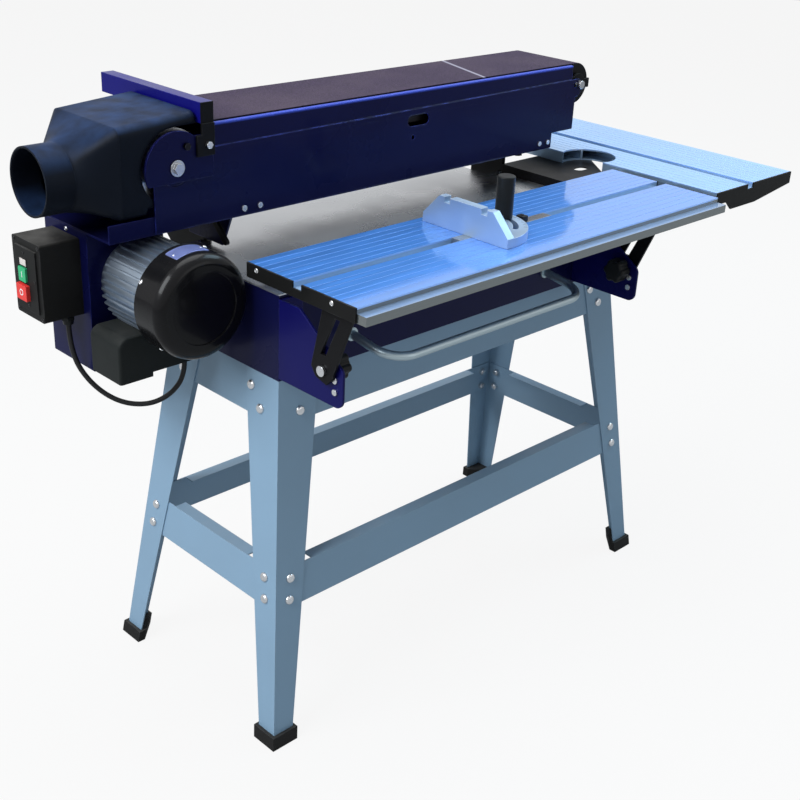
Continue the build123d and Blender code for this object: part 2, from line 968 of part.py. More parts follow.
def lock_knob(face, outward):
    """Lobed knob on the inner end of a pivot bolt, bored from the face beside the bracket."""
    base = Plane(origin=at(0, *pivot), x_dir=(0, 1, 0), z_dir=(1, 0, 0))
    with BuildPart() as piece:
        with BuildSketch(base.offset(face)):
            Circle(knob_hub_radius)
        extrude(amount=-outward * knob_hub)
        with BuildSketch(base.offset(face - outward * knob_hub)):
            lobed_knob_sketch()
        extrude(amount=-outward * (knob_length - knob_hub))
        outer_rim = piece.faces().filter_by(Axis.X).sort_by(Axis.X)[0 if outward > 0 else -1]
        fillet(outer_rim.edges(), knob_lobe / 2)
        with BuildSketch(base.offset(face)):
            Circle(pivot_bolt_radius + knob_play)
        extrude(amount=-outward * (knob_length - knob_floor), mode=Mode.SUBTRACT)
    return piece


save(lock_knob(bracket_left + bracket_sheet + knob_gap, -1), "table_lock_knob_left")
save(lock_knob(bracket_right - knob_gap, 1), "table_lock_knob_right")

# End table with a round notch for the idler drum, and its end caps
with BuildPart() as end_table:
    with BuildSketch(end_deck_plane(end_rear)):
        deck_section(end_width, False)
    extrude(amount=end_length)
    with BuildSketch(plan(deck_low)):
        with Locations((notch_x, notch_y)):
            Circle(notch_radius)
    extrude(amount=deck_height, mode=Mode.SUBTRACT)
save(end_table, "end_table")

with BuildPart() as end_table_caps:
    for y in (end_front, end_rear + table_cap):
        with BuildSketch(end_deck_plane(y)):
            cap_section(end_width, end_cap_bulge)
        extrude(amount=table_cap)
save(end_table_caps, "end_table_caps")

# Support from the tray to the underside of the end table: a sheet with an arm behind the notch, a
# slanting web before it, a leg beyond it, a slot for the axle's head and flanges down to the tray
with BuildPart() as end_table_support:
    with BuildSketch(plan(deck_low - support_sheet)):
        box_sketch(support_left, support_arm_front, support_right, support_rear)
        box_sketch(support_leg_left, support_front, support_right, support_rear)
        Polygon(
            (support_left, support_web_front),
            (support_web_left, support_web_front),
            (support_web_right, support_arm_front),
            (support_left, support_arm_front),
            align=None,
        )
        with Locations((idler_x - idler_travel / 2, tilt_y + tilt_z - idler_z)):
            SlotCenterToCenter(idler_travel, 2 * support_hole_radius, mode=Mode.SUBTRACT)
    extrude(amount=support_sheet)
    with BuildSketch(plan(tray_top)):
        skirt_rear = support_arm_front + support_sheet
        box_sketch(support_left, support_arm_front, support_skirt_right, skirt_rear)
        box_sketch(support_left, support_web_front, support_left + support_sheet, support_rear)
        box_sketch(support_left, support_rear - support_sheet, support_right, support_rear)
        box_sketch(support_right - support_sheet, support_front, support_right, support_rear)
        box_sketch(support_leg_left, support_front, support_right, support_front + support_sheet)
    extrude(amount=deck_low - tray_top)
save(end_table_support, "end_table_support")

# Mitre gauge: a bar in the slot, a protractor head on it and a locking handle
bar_half = slot_width / 2 - mitre_bar_play
head_low = table_top + mitre_lift
fence_back = mitre_face + fence_bar
fence_mid = slot_y + fence_shift
mitre_pivot = (mitre_face + mitre_pivot_set_back, slot_y)
mitre_stud_x = mitre_pivot[0] + mitre_arc_radius
stud_top = head_low + mitre_body_height

with BuildPart() as mitre_bar:
    bar_low = table_top - slot_depth + mitre_bar_play
    bar_left = mitre_face - mitre_pivot_set_back
    with BuildSketch(plan(bar_low)):
        box_sketch(bar_left, slot_y - bar_half, bar_left + mitre_bar_length, slot_y + bar_half)
    extrude(amount=table_top - bar_low)
    with BuildSketch(plan(bar_low)):
        with Locations(mitre_pivot, (mitre_stud_x, slot_y)):
            Circle(mitre_stud_radius)
    extrude(amount=stud_top - bar_low)
save(mitre_bar, "mitre_bar")

with BuildPart() as mitre_head:
    with BuildSketch(side(mitre_face)):
        Polygon(
            (fence_mid - fence_foot / 2, head_low),
            (fence_mid + fence_foot / 2, head_low),
            (fence_mid + fence_foot / 2, head_low + mitre_body_height),
            (fence_mid + fence_head / 2, head_low + fence_height),
            (fence_mid - fence_head / 2, head_low + fence_height),
            (fence_mid - fence_foot / 2, head_low + mitre_body_height),
            align=None,
        )
        with Locations((fence_mid, head_low + fence_height)):
            with GridLocations(fence_notch_spacing, 0, 2, 1):
                Rectangle(fence_notch_width, 2 * fence_notch_depth, mode=Mode.SUBTRACT)
    extrude(amount=fence_bar)
    with BuildSketch(plan(head_low)):
        with Locations((fence_back, fence_mid)):
            Circle(mitre_body_radius)
        box_sketch(
            fence_back - mitre_body_radius,
            fence_mid - mitre_body_radius,
            fence_back,
            fence_mid + mitre_body_radius,
            Mode.SUBTRACT,
        )
    extrude(amount=mitre_body_height)
    mitre_arc = CenterArc(
        mitre_pivot, mitre_arc_radius, -mitre_arc_half, 2 * mitre_arc_half, mode=Mode.PRIVATE
    )
    with BuildSketch(plan(head_low)):
        with Locations(mitre_pivot):
            Circle(mitre_stud_radius + pin_play)
        SlotArc(mitre_arc, mitre_arc_width)
    extrude(amount=mitre_body_height, mode=Mode.SUBTRACT)
save(mitre_head, "mitre_head")

with BuildPart() as mitre_handle:
    grip_low = stud_top + mitre_lift
    with BuildSketch(plan(grip_low)):
        with Locations((mitre_stud_x, slot_y)):
            Circle(mitre_handle_radius)
    extrude(amount=mitre_handle_height)
    fillet(mitre_handle.edges().group_by(Axis.Z)[-1], mitre_handle_round)
save(mitre_handle, "mitre_handle")

# Hinge posts on the back of the base, each with a lock arc around the pivot and a tail behind it, the
# longer one at the left, next to the motor
tilt_axis = (tilt_y, tilt_z)
lock_stud_at = around(tilt_axis, lock_radius, lock_start)


def hinge_post(x, tail):
    """One post plate centred at x, with the tail's corners and a foot plate bolted to the base's back."""
    arc = CenterArc(tilt_axis, lock_radius, lock_start, unit_tilt, mode=Mode.PRIVATE)
    rim_step = (unit_tilt + 2 * post_rim) / post_steps
    rim = [lock_start - post_rim + step * rim_step for step in range(post_steps + 1)]
    with BuildSketch(side(x - post_sheet / 2)) as plate:
        with Locations(tilt_axis):
            Circle(post_boss)
        Polygon(tilt_axis, *[around(tilt_axis, post_disc, angle) for angle in rim], align=None)
        Polygon(
            around(tilt_axis, post_disc, rim[-1]),
            (post_rear, frame_low - post_shoulder),
            *tail,
            (post_rear, post_low),
            (top_half_width, post_low),
            (top_half_width, tray_top + lug_gap),
            (post_front, tray_top + lug_gap),
            (post_front, frame_low - post_shoulder),
            around(tilt_axis, post_disc, lock_start + unit_tilt - 2 * post_rim),
            align=None,
        )
        with Locations(tilt_axis):
            Circle(pin_radius + pin_play, mode=Mode.SUBTRACT)
        SlotArc(arc, 2 * (tilt_stud_radius + tilt_slot_play), mode=Mode.SUBTRACT)
    extrude(plate.sketch, amount=post_sheet)
    with BuildSketch(front(top_half_width + post_foot_sheet)) as foot:
        box_sketch(x - post_flange, post_low, x + post_flange, base_top - post_foot_drop)
    extrude(foot.sketch, amount=post_foot_sheet)


post_places = (post_left_x, post_right_x)
tail_high = frame_low - post_tail_drop
with BuildPart() as hinge_posts:
    for x, rear in ((post_right_x, post_tail_right), (post_left_x, post_tail_rear)):
        hinge_post(x, ((rear, tail_high), (rear, tail_high - post_tail_depth)))
save(hinge_posts, "hinge_posts")

lug_reach = post_sheet / 2 + lug_gap + lug_sheet
with BuildPart() as tilt_pins:
    for x in post_places:
        with BuildSketch(side(x - lug_reach - lug_gap)):
            with Locations(tilt_axis):
                Circle(pin_radius)
        extrude(amount=2 * (lug_reach + lug_gap))
save(tilt_pins, "tilt_pins")

# Fasteners of the base: pivot bolts, bracket screws and the bolts down into the stand
with BuildPart() as base_fasteners:
    for arm_face, plate_face, outward in (
        (arm_left_x, bracket_left + bracket_sheet, -1),
        (arm_right_x + arm_sheet, bracket_right, 1),
    ):
        bolt_end = plate_face - outward * pivot_bolt_reach
        with BuildSketch(side(bolt_end)):
            with Locations(pivot):
                Circle(pivot_bolt_radius)
        extrude(amount=arm_face + outward * knob_gap - bolt_end)
        with BuildSketch(side(arm_face + outward * knob_gap)):
            with Locations(pivot):
                Circle(dome_radius)
        extrude(amount=outward * dome_height)
        with BuildSketch(side(plate_face + outward * bracket_sheet)):
            with Locations(pivot):
                Circle(dome_radius)
        extrude(amount=outward * (arm_gap - knob_gap))
    for x in (bracket_left, bracket_right):
        with BuildSketch(side(x)):
            with Locations(*screw_places):
                Circle(bracket_screw_radius)
        extrude(amount=bracket_sheet)
        with BuildSketch(side(x)):
            with Locations(*screw_places):
                Circle(bracket_screw_head)
        extrude(amount=-bracket_screw_radius)
    with BuildSketch(plan(stand_top + base_sheet)):
        with GridLocations(base_bolt_spacing, 2 * lip_mid, 2, 2):
            RegularPolygon(nut_radius, 6)
    extrude(amount=nut_height)
    with BuildSketch(plan(stand_top + base_sheet)):
        with GridLocations(base_bolt_spacing, 2 * lip_mid, 2, 2):
            Circle(bolt_radius)
    extrude(amount=-(base_sheet + stand_sheet + thread_end))
save(base_fasteners, "base_fasteners")

# Belt unit: the back plate with the rear bearing housing
drive_axis = (drive_x, drive_z)
idler_axis = (idler_x, idler_z)
housing_depth = bearing_width + housing_floor
tension_axis = (tension_x, tension_z)



def axle_slot_sketch(half, right, mode=Mode.ADD):
    """Slot in which the idler axle slides, open at the right, in the open sketch."""
    slot_end = idler_x - idler_travel
    with Locations((slot_end, idler_z)):
        Circle(half, mode=mode)
    box_sketch(slot_end, idler_z - half, right + cut_over, idler_z + half, mode)


with BuildPart() as back_plate:
    with BuildSketch(front(back_rear)):
        box_sketch(plate_left, frame_low, cover_right, cover_top - 2 * cover_sheet)
    extrude(amount=back_sheet)
    with BuildSketch(front(back_rear + housing_depth)):
        with Locations(drive_axis):
            Circle(housing_radius)
    extrude(amount=housing_depth)
    with BuildSketch(front(back_rear + housing_depth)):
        with Locations(drive_axis):
            Circle(shaft_radius + bearing_play)
    extrude(amount=housing_depth + back_sheet, mode=Mode.SUBTRACT)
    with BuildSketch(front(back_rear + housing_depth)):
        with Locations(drive_axis):
            Circle(bearing_radius + bearing_seat_play)
    extrude(amount=housing_depth - housing_lip, mode=Mode.SUBTRACT)
    with BuildSketch(front(back_rear)):
        with Locations(tension_axis):
            Circle(axle_radius + axle_play)
        axle_slot_sketch(axle_radius + axle_slot_play, cover_right)
    extrude(amount=back_sheet, mode=Mode.SUBTRACT)
save(back_plate, "back_plate")

# Lower frame: a channel under the unit, open where the posts pass, with hinge lugs and a lock plate
with BuildPart() as lower_frame:
    with BuildSketch(plan(frame_low)):
        box_sketch(frame_left, cover_inner, frame_right, back_y)
        for x in post_places:
            gap = post_sheet / 2 + lug_gap
            box_sketch(x - gap, tilt_y - post_disc - gap, x + gap, post_rear + gap, Mode.SUBTRACT)
    extrude(amount=frame_sheet)
    with BuildSketch(plan(frame_low)):
        box_sketch(frame_left, cover_inner, frame_right, cover_inner + cover_sheet)
        box_sketch(frame_left, back_y - cover_sheet, frame_right, back_y)
    extrude(amount=frame_rise)
    for x in post_places:
        for start in (x - lug_reach, x + post_sheet / 2 + lug_gap):
            with BuildSketch(side(start)):
                with Locations(tilt_axis):
                    Circle(lug_radius)
                box_sketch(tilt_y - lug_radius, frame_low, tilt_y + lug_radius, tilt_z)
                with Locations(tilt_axis):
                    Circle(pin_radius + pin_play, mode=Mode.SUBTRACT)
            extrude(amount=lug_sheet)
    with BuildSketch(side(post_left_x - lug_reach)):
        Polygon(
            (quadrant_front, frame_low),
            (quadrant_toe, quadrant_low),
            (post_rear, quadrant_low),
            (post_rear, frame_low),
            align=None,
        )
        with Locations(lock_stud_at):
            Circle(tilt_stud_radius + pin_play, mode=Mode.SUBTRACT)
    extrude(amount=lug_sheet)
save(lower_frame, "lower_frame")

# Front cover: a stepped sheet with a lip along the belt, an access slot and a small hole
with BuildPart() as front_cover:
    with BuildSketch(front(cover_inner)) as panel:
        Polygon(
            (cover_left, cover_low),
            (cover_left, cover_step),
            (cover_band_right, cover_step_right),
            (cover_band_right, cover_band_low),
            (cover_right, cover_band_low),
            (cover_right, cover_low),
            align=None,
        )
        fillet(panel.vertices().sort_by(Axis.X)[-2:], cover_band_round)
        box_sketch(cover_cut_left, cover_low, cover_right, cover_cut_top, Mode.SUBTRACT)
        axle_slot_sketch(axle_neck_radius + axle_slot_play, cover_band_right, Mode.SUBTRACT)
        with Locations((cover_slot_x, cover_slot_z)):
            SlotOverall(cover_slot_length, cover_slot_height, mode=Mode.SUBTRACT)
        with Locations((cover_hole_x, cover_hole_z)):
            Circle(cover_hole_radius, mode=Mode.SUBTRACT)
        with Locations(drive_axis):
            Circle(housing_radius + running_gap, mode=Mode.SUBTRACT)
    extrude(amount=cover_sheet)
    with BuildSketch(front(cover_inner + cover_sheet)):
        box_sketch(strip_left, cover_step - 2 * cover_sheet, strip_right, cover_top)
    extrude(amount=cover_sheet)
    with BuildSketch(front(cover_inner + cover_lip)):
        box_sketch(strip_left, cover_top - cover_sheet, strip_right, cover_top)
    extrude(amount=cover_lip)
    top_edge = front_cover.edges().filter_by(Axis.X).group_by(Axis.Z)[-1].sort_by(Axis.Y)[0]
    fillet(top_edge, cover_sheet * dome_share)
save(front_cover, "front_cover")

# End plate in front of the drive drum, with the front bearing housing behind it
with BuildPart() as drum_end_plate:
    with BuildSketch(front(cover_y)):
        with Locations(drive_axis):
            Circle(end_plate_radius)
        box_sketch(drive_x, end_plate_low, end_plate_right, end_plate_high)
        below = end_plate_low - end_plate_radius
        box_sketch(drive_x - end_plate_radius, below, end_plate_right, end_plate_low, Mode.SUBTRACT)
        with Locations(drive_axis):
            Circle(journal_radius + running_gap, mode=Mode.SUBTRACT)
    extrude(amount=end_plate_sheet)
    housing_rear = drum_front - bearing_inset
    with BuildSketch(front(housing_rear)):
        with Locations(drive_axis):
            Circle(housing_radius)
            Circle(bearing_radius + bearing_seat_play, mode=Mode.SUBTRACT)
    extrude(amount=housing_rear - cover_y)
save(drum_end_plate, "drum_end_plate")

# Platen under the belt's upper run, with its flanges, spacers and the fork's guide block
with BuildPart() as platen:
    platen_top = belt_top - belt_sheet - belt_play
    platen_front = belt_front + platen_inset
    platen_rear = belt_rear - platen_inset
    flange_low = platen_top - platen_sheet - platen_depth
    with BuildSketch(plan(platen_top - platen_sheet)):
        box_sketch(platen_left, platen_front, platen_right, platen_rear)
    extrude(amount=platen_sheet)
    with BuildSketch(plan(flange_low)):
        box_sketch(platen_left, platen_front, platen_flange_end, platen_front + frame_sheet)
        box_sketch(platen_left, platen_rear - frame_sheet, platen_flange_end, platen_rear)
    extrude(amount=platen_depth)
    guide_z = idler_z
    with BuildSketch(side(block_left)):
        box_sketch(platen_front, flange_low, platen_rear, platen_top - platen_sheet)
        guide_y = (belt_front + belt_rear) / 2
        with Locations((guide_y, guide_z)):
            Rectangle(guide_width + 2 * guide_play, guide_width + 2 * guide_play, mode=Mode.SUBTRACT)
    extrude(amount=block_length)
    spacer_z = flange_low + platen_depth / 2
    with BuildSketch(front(back_y)):
        for x in (platen_left + spacer_inset, 0, platen_flange_end - spacer_inset):
            with Locations((x, spacer_z)):
                Circle(platen_depth / 4)
    extrude(amount=back_y - platen_rear)
save(platen, "platen")

# Stop fence: a box section across the belt, held by a lug on the end plate
with BuildPart() as stop_fence:
    with BuildSketch(front(stop_rear)):
        box_sketch(stop_left, stop_low, stop_right, stop_low + stop_height)
        box_sketch(
            stop_left + stop_wall,
            stop_low + stop_wall,
            stop_right - stop_wall,
            stop_low + stop_height - stop_wall,
            Mode.SUBTRACT,
        )
    extrude(amount=stop_rear - stop_front)
save(stop_fence, "stop_fence")

with BuildPart() as fence_lug:
    with BuildSketch(front(stop_front)):
        box_sketch(stop_left, lug_low, stop_right, stop_low)
        box_sketch(lug_left, lug_low, stop_right, end_plate_high)
    extrude(amount=lug_plate)
    with BuildSketch(front(stop_front)):
        box_sketch(stop_left, stop_low, stop_right, stop_low + stop_height)
    extrude(amount=plug_sheet)
save(fence_lug, "fence_lug")

# Dust hood: a rounded box over the drive drum that funnels into a round hose port
hood_y = (hood_front + hood_rear) / 2
hood_z = (hood_low + hood_top) / 2
hood_width = hood_rear - hood_front
hood_height = hood_top - hood_low


def hood_body(inset, box_end, tube_end, mode):
    """Hood outline grown inward by inset: box, funnel and tube."""
    with BuildSketch(side(hood_corner_x)) as mouth:
        with Locations((hood_y, hood_z)):
            RectangleRounded(hood_width - 2 * inset, hood_height - 2 * inset, hood_round - inset)
    with BuildSketch(side(box_end)) as heel:
        with Locations((hood_y, hood_z + hood_rise / 2)):
            RectangleRounded(hood_width - 2 * inset, hood_height + hood_rise - 2 * inset, hood_round - inset)
    loft([mouth.sketch, heel.sketch], mode=mode)
    with BuildSketch(side(port_root)) as throat:
        with Locations((port_y, port_z)):
            Circle(port_radius - inset)
    loft([mouth.sketch, throat.sketch], mode=mode)
    extrude(throat.sketch, amount=tube_end - port_root, mode=mode)


with BuildPart() as dust_hood:
    hood_body(0.0, hood_right, port_mouth, Mode.ADD)
    hood_body(hood_wall, hood_right + cut_over, port_mouth - cut_over, Mode.SUBTRACT)
    front_wall = hood_front + hood_round
    with BuildSketch(front(front_wall)):
        with Locations(drive_axis):
            Circle(hood_cut)
        box_sketch(cover_left - cut_over, hood_low - cut_over, hood_right + cut_over, end_plate_low)
        box_sketch(drive_x, end_plate_low, hood_right + cut_over, belt_top + hood_belt_gap)
    extrude(amount=hood_round + cut_over, mode=Mode.SUBTRACT)
    room = housing_radius + housing_room
    with BuildSketch(front(hood_rear + cut_over)):
        with Locations(drive_axis):
            Circle(room)
        box_sketch(drive_x, drive_z - room, hood_right + cut_over, drive_z + room)
    extrude(amount=hood_wall + cut_over, mode=Mode.SUBTRACT)
    with BuildSketch(plan(hood_low - cut_over)):
        left = plate_left - cut_over
        box_sketch(left, hood_front - cut_over, hood_right + cut_over, hood_rear + cut_over)
    extrude(amount=hood_round + cut_over, mode=Mode.SUBTRACT)
save(dust_hood, "dust_hood")


def drum(axis, radius, bore, bore_depth):
    """Hollow drum between two webs, with a bore bore_depth deep at each end."""
    with BuildPart() as piece:
        with BuildSketch(front(drum_rear)):
            with Locations(axis):
                Circle(radius)
                Circle(bore, mode=Mode.SUBTRACT)
        extrude(amount=drum_rear - drum_front)
        with BuildSketch(front(drum_rear - bore_depth)):
            with Locations(axis):
                Circle(radius - drum_wall)
                Circle(bore, mode=Mode.SUBTRACT)
        extrude(amount=drum_rear - drum_front - 2 * bore_depth, mode=Mode.SUBTRACT)
    return piece


save(drum(drive_axis, drive_radius, shaft_radius + bearing_play, drum_web), "drive_drum")
save(drum(idler_axis, idler_radius, idler_bearing_radius + bearing_seat_play, drum_web), "idler_drum")

# Drive shaft with the bolt and washer on its front end
shaft_nose = plate_front - running_gap
with BuildPart() as drive_shaft:
    with BuildSketch(front(pulley_rear + shaft_over)):
        with Locations(drive_axis):
            Circle(journal_radius)
    extrude(amount=pulley_rear + shaft_over - shaft_nose)
    with BuildSketch(front(drum_rear)):
        with Locations(drive_axis):
            Circle(shaft_radius)
    extrude(amount=drum_rear - drum_front)
    with BuildSketch(front(shaft_nose)):
        with Locations(drive_axis):
            Circle(washer_radius)
    extrude(amount=washer_sheet)
    with BuildSketch(front(shaft_nose - washer_sheet)):
        with Locations(drive_axis):
            RegularPolygon(drum_bolt_radius, 6)
    extrude(amount=drum_bolt_head)
save(drive_shaft, "drive_shaft")


def ring(axis, start, inner, outer, width):
    """Bearing ring that begins at y = start and runs back by width, in the open part."""
    with BuildSketch(front(start + width)) as section:
        with Locations(axis):
            Circle(outer)
            Circle(inner, mode=Mode.SUBTRACT)
    extrude(section.sketch, amount=width)


with BuildPart() as drum_bearings:
    for start in (cover_inner + running_gap, back_rear + housing_lip):
        ring(drive_axis, start, journal_radius + bearing_play, bearing_radius, bearing_width)
save(drum_bearings, "drum_bearings")

with BuildPart() as idler_bearings:
    for start in (drum_front + bearing_inset, drum_rear - bearing_inset - bearing_width):
        ring(idler_axis, start, axle_radius + bearing_play, idler_bearing_radius, bearing_width)
save(idler_bearings, "idler_bearings")

# Idler fork: two round cheeks, a cross bar and a guide bar that slides in the platen's block
fork_front = cover_inner + cover_sheet + running_gap
fork_rear = back_y - running_gap
with BuildPart() as idler_fork:
    for start, sheet in ((fork_front, fork_sheet_front), (fork_rear - fork_sheet_back, fork_sheet_back)):
        with BuildSketch(front(start + sheet)):
            with Locations(idler_axis):
                Circle(fork_disc)
            box_sketch(fork_bar_left, idler_z - fork_depth / 2, idler_x, idler_z + fork_depth / 2)
            tip_half = fork_tip_depth / 2
            box_sketch(idler_x, idler_z - tip_half, idler_x + fork_tip, idler_z + tip_half)
            with Locations(idler_axis):
                Circle(axle_radius + axle_play, mode=Mode.SUBTRACT)
        extrude(amount=sheet)
    with BuildSketch(side(fork_bar_left)):
        box_sketch(fork_front, idler_z - fork_depth / 2, fork_rear, idler_z + fork_depth / 2)
    extrude(amount=fork_bar_length)
    with BuildSketch(side(guide_left)):
        with Locations((guide_y, guide_z)):
            Rectangle(guide_width, guide_width)
    extrude(amount=fork_bar_left - guide_left)
save(idler_fork, "idler_fork")

with BuildPart() as idler_axle:
    with BuildSketch(front(fork_rear + axle_over_rear)):
        with Locations(idler_axis):
            Circle(axle_radius)
    extrude(amount=fork_rear + axle_over_rear - fork_front)
    with BuildSketch(front(fork_front)):
        with Locations(idler_axis):
            Circle(axle_neck_radius)
    extrude(amount=fork_front - axle_head_front)
    head_rear = cover_y - running_gap
    with BuildSketch(front(head_rear)):
        with Locations(idler_axis):
            Circle(axle_head_radius)
    extrude(amount=head_rear - axle_head_front)
    fillet(idler_axle.edges().group_by(Axis.Y)[0], axle_round)
save(idler_axle, "idler_axle")

# Abrasive belt round both drums, standing clear of them by the running play
with BuildPart() as sanding_belt:
    for grow, mode in ((belt_play + belt_sheet, Mode.ADD), (belt_play, Mode.SUBTRACT)):
        with BuildSketch(front(belt_rear)):
            with Locations(drive_axis):
                Circle(drive_radius + grow)
            with Locations(idler_axis):
                Circle(idler_radius + grow)
            make_hull()
        extrude(amount=belt_width, mode=mode)
save(sanding_belt, "sanding_belt")

# Motor bracket: a folded box hung below the frame, with the switch panel as its left side
motor_axis = (motor_x, motor_z)
with BuildPart() as motor_bracket:
    top = frame_low
    with BuildSketch(side(frame_left)):
        box_sketch(motor_flange_y, motor_panel_low, motor_frame_rear, top)
    extrude(amount=bracket_plate)
    for y in (motor_flange_y + bracket_plate, motor_frame_rear):
        with BuildSketch(front(y)):
            box_sketch(frame_left, motor_web_low, motor_web_right, top)
            with Locations(motor_axis):
                Circle(motor_shaft_radius + shaft_room, mode=Mode.SUBTRACT)
        extrude(amount=bracket_plate)
    with BuildSketch(plan(top - bracket_plate)):
        box_sketch(frame_left, motor_flange_y, motor_web_right, motor_frame_rear)
    extrude(amount=bracket_plate)
save(motor_bracket, "motor_bracket")

# Motor housing: finned stator, end shields and the flange behind the fan cover
with BuildPart() as motor_housing:
    with BuildSketch(front(stator_rear)):
        with Locations(motor_axis):
            Circle(stator_radius)
            with PolarLocations(stator_radius, fin_count):
                Rectangle(2 * (fin_radius - stator_radius), fin_width)
    extrude(amount=stator_rear - stator_front)
    with BuildSketch(front(stator_front + shield_wall)):
        with Locations(motor_axis):
            Circle(fan_cover_radius - fan_cover_wall - spigot_play)
    extrude(amount=shield_wall)
    with BuildSketch(front(motor_flange_y)):
        with Locations(motor_axis):
            Circle(shield_rear_radius)
    extrude(amount=motor_flange_y - stator_rear)
    with BuildSketch(front(stator_rear - shield_wall)):
        with Locations(motor_axis):
            Circle(rotor_radius + air_gap)
    extrude(amount=stator_rear - stator_front - 2 * shield_wall, mode=Mode.SUBTRACT)
    with BuildSketch(front(motor_flange_y)):
        with Locations(motor_axis):
            Circle(motor_shaft_radius + bearing_play)
    extrude(amount=motor_flange_y - stator_front, mode=Mode.SUBTRACT)
save(motor_housing, "motor_housing")

# Fan cover: a dished cup over the fan
with BuildPart() as motor_fan_cover:
    cover_rear = motor_front + fan_cover_depth
    with BuildSketch(front(cover_rear)):
        with Locations(motor_axis):
            Circle(fan_cover_radius)
    extrude(amount=fan_cover_depth)
    fillet(motor_fan_cover.edges().group_by(Axis.Y)[0], fan_cover_round)
    with BuildSketch(front(cover_rear)):
        with Locations(motor_axis):
            Circle(fan_cover_radius - fan_cover_wall)
    extrude(amount=fan_cover_depth - fan_cover_round, mode=Mode.SUBTRACT)
    with BuildSketch(front(motor_front + fan_cover_round)):
        with Locations(motor_axis):
            Circle(fan_cover_radius - fan_cover_round)
    extrude(amount=fan_cover_round - 2 * fan_cover_wall, mode=Mode.SUBTRACT)
    with BuildSketch(front(motor_front + fan_cover_wall)):
        with Locations(motor_axis):
            Circle(fan_cover_radius - dish_share * fan_cover_round)
    extrude(amount=fan_cover_wall, mode=Mode.SUBTRACT)
save(motor_fan_cover, "motor_fan_cover")

# Rotor on its shaft, and the cooling fan on the shaft's front end
fan_front = motor_front + fan_cover_round + fan_cover_wall
with BuildPart() as motor_rotor:
    with BuildSketch(front(pulley_rear + shaft_over)):
        with Locations(motor_axis):
            Circle(motor_shaft_radius)
    extrude(amount=pulley_rear + shaft_over - (fan_front - shaft_over))
    with BuildSketch(front(stator_rear - 2 * shield_wall)):
        with Locations(motor_axis):
            Circle(rotor_radius)
    extrude(amount=stator_rear - stator_front - 4 * shield_wall)
    with BuildSketch(front(stator_front - fan_gap)):
        with Locations(motor_axis):
            Circle(motor_shaft_radius * 2)
            with PolarLocations(fan_radius / 2, fan_blades):
                Rectangle(fan_radius, fan_blade)
    extrude(amount=stator_front - fan_gap - fan_front)
save(motor_rotor, "motor_rotor")


def pulley(axis, bore):
    """Grooved pulley on a shaft."""
    groove = drive_belt_width + 2 * drive_belt_play
    groove_front = pulley_front + (pulley_width - groove) / 2
    with BuildPart() as piece:
        with BuildSketch(front(pulley_rear)):
            with Locations(axis):
                Circle(pulley_radius)
        extrude(amount=pulley_width)
        with BuildSketch(front(groove_front + groove)):
            with Locations(axis):
                Circle(pulley_radius)
                Circle(groove_bottom, mode=Mode.SUBTRACT)
        extrude(amount=groove, mode=Mode.SUBTRACT)
        with BuildSketch(front(pulley_rear)):
            with Locations(axis):
                Circle(bore)
        extrude(amount=pulley_width, mode=Mode.SUBTRACT)
    return piece


save(pulley(motor_axis, motor_shaft_radius + bearing_play), "motor_pulley")
save(pulley(drive_axis, journal_radius + bearing_play), "drum_pulley")

# Drive belt round both pulleys, and the guard that encloses it
centre_distance = hypot(drive_x - motor_x, drive_z - motor_z)
drive_slope = degrees(atan2(drive_z - motor_z, drive_x - motor_x))
drive_mid = ((drive_x + motor_x) / 2, (drive_z + motor_z) / 2)


def drive_loop(radius, mode=Mode.ADD):
    """Round-ended outline about both pulley axes, in the open sketch."""
    with Locations(drive_mid):
        SlotCenterToCenter(centre_distance, 2 * radius, rotation=drive_slope, mode=mode)


with BuildPart() as drive_belt:
    belt_inner = groove_bottom + drive_belt_play
    belt_mid = pulley_front + pulley_width / 2
    with BuildSketch(front(belt_mid + drive_belt_width / 2)):
        drive_loop(belt_inner + drive_belt_depth)
        drive_loop(belt_inner, Mode.SUBTRACT)
    extrude(amount=drive_belt_width)
save(drive_belt, "drive_belt")

with BuildPart() as drive_guard:
    with BuildSketch(front(guard_rear)):
        drive_loop(guard_radius)
    extrude(amount=guard_rear - motor_frame_rear)
    with BuildSketch(front(guard_rear - guard_wall)):
        drive_loop(guard_radius - guard_wall)
    extrude(amount=guard_rear - motor_frame_rear, mode=Mode.SUBTRACT)
save(drive_guard, "drive_guard")

# Terminal box under the motor with a lid below its left part, cut to sit against the fins
with BuildPart() as terminal_box:
    with BuildSketch(plan(terminal_low)):
        box_sketch(
            terminal_left, terminal_front, terminal_left + terminal_width, terminal_front + terminal_depth
        )
    extrude(amount=terminal_high - terminal_low)
    fillet(terminal_box.edges().filter_by(Axis.Y).group_by(Axis.Z)[-1], terminal_round)
    fillet(terminal_box.edges().filter_by(Axis.Z), box_round)
    with BuildSketch(plan(terminal_low - cut_over)):
        box_sketch(
            terminal_left + lid_width,
            terminal_front - cut_over,
            terminal_left + terminal_width + cut_over,
            terminal_front + terminal_depth + cut_over,
        )
    extrude(amount=lid_height + cut_over, mode=Mode.SUBTRACT)
    with BuildSketch(front(terminal_front + terminal_depth + cut_over)):
        with Locations(motor_axis):
            Circle(fin_radius + running_gap)
    extrude(amount=terminal_depth + 2 * cut_over, mode=Mode.SUBTRACT)
save(terminal_box, "terminal_box")

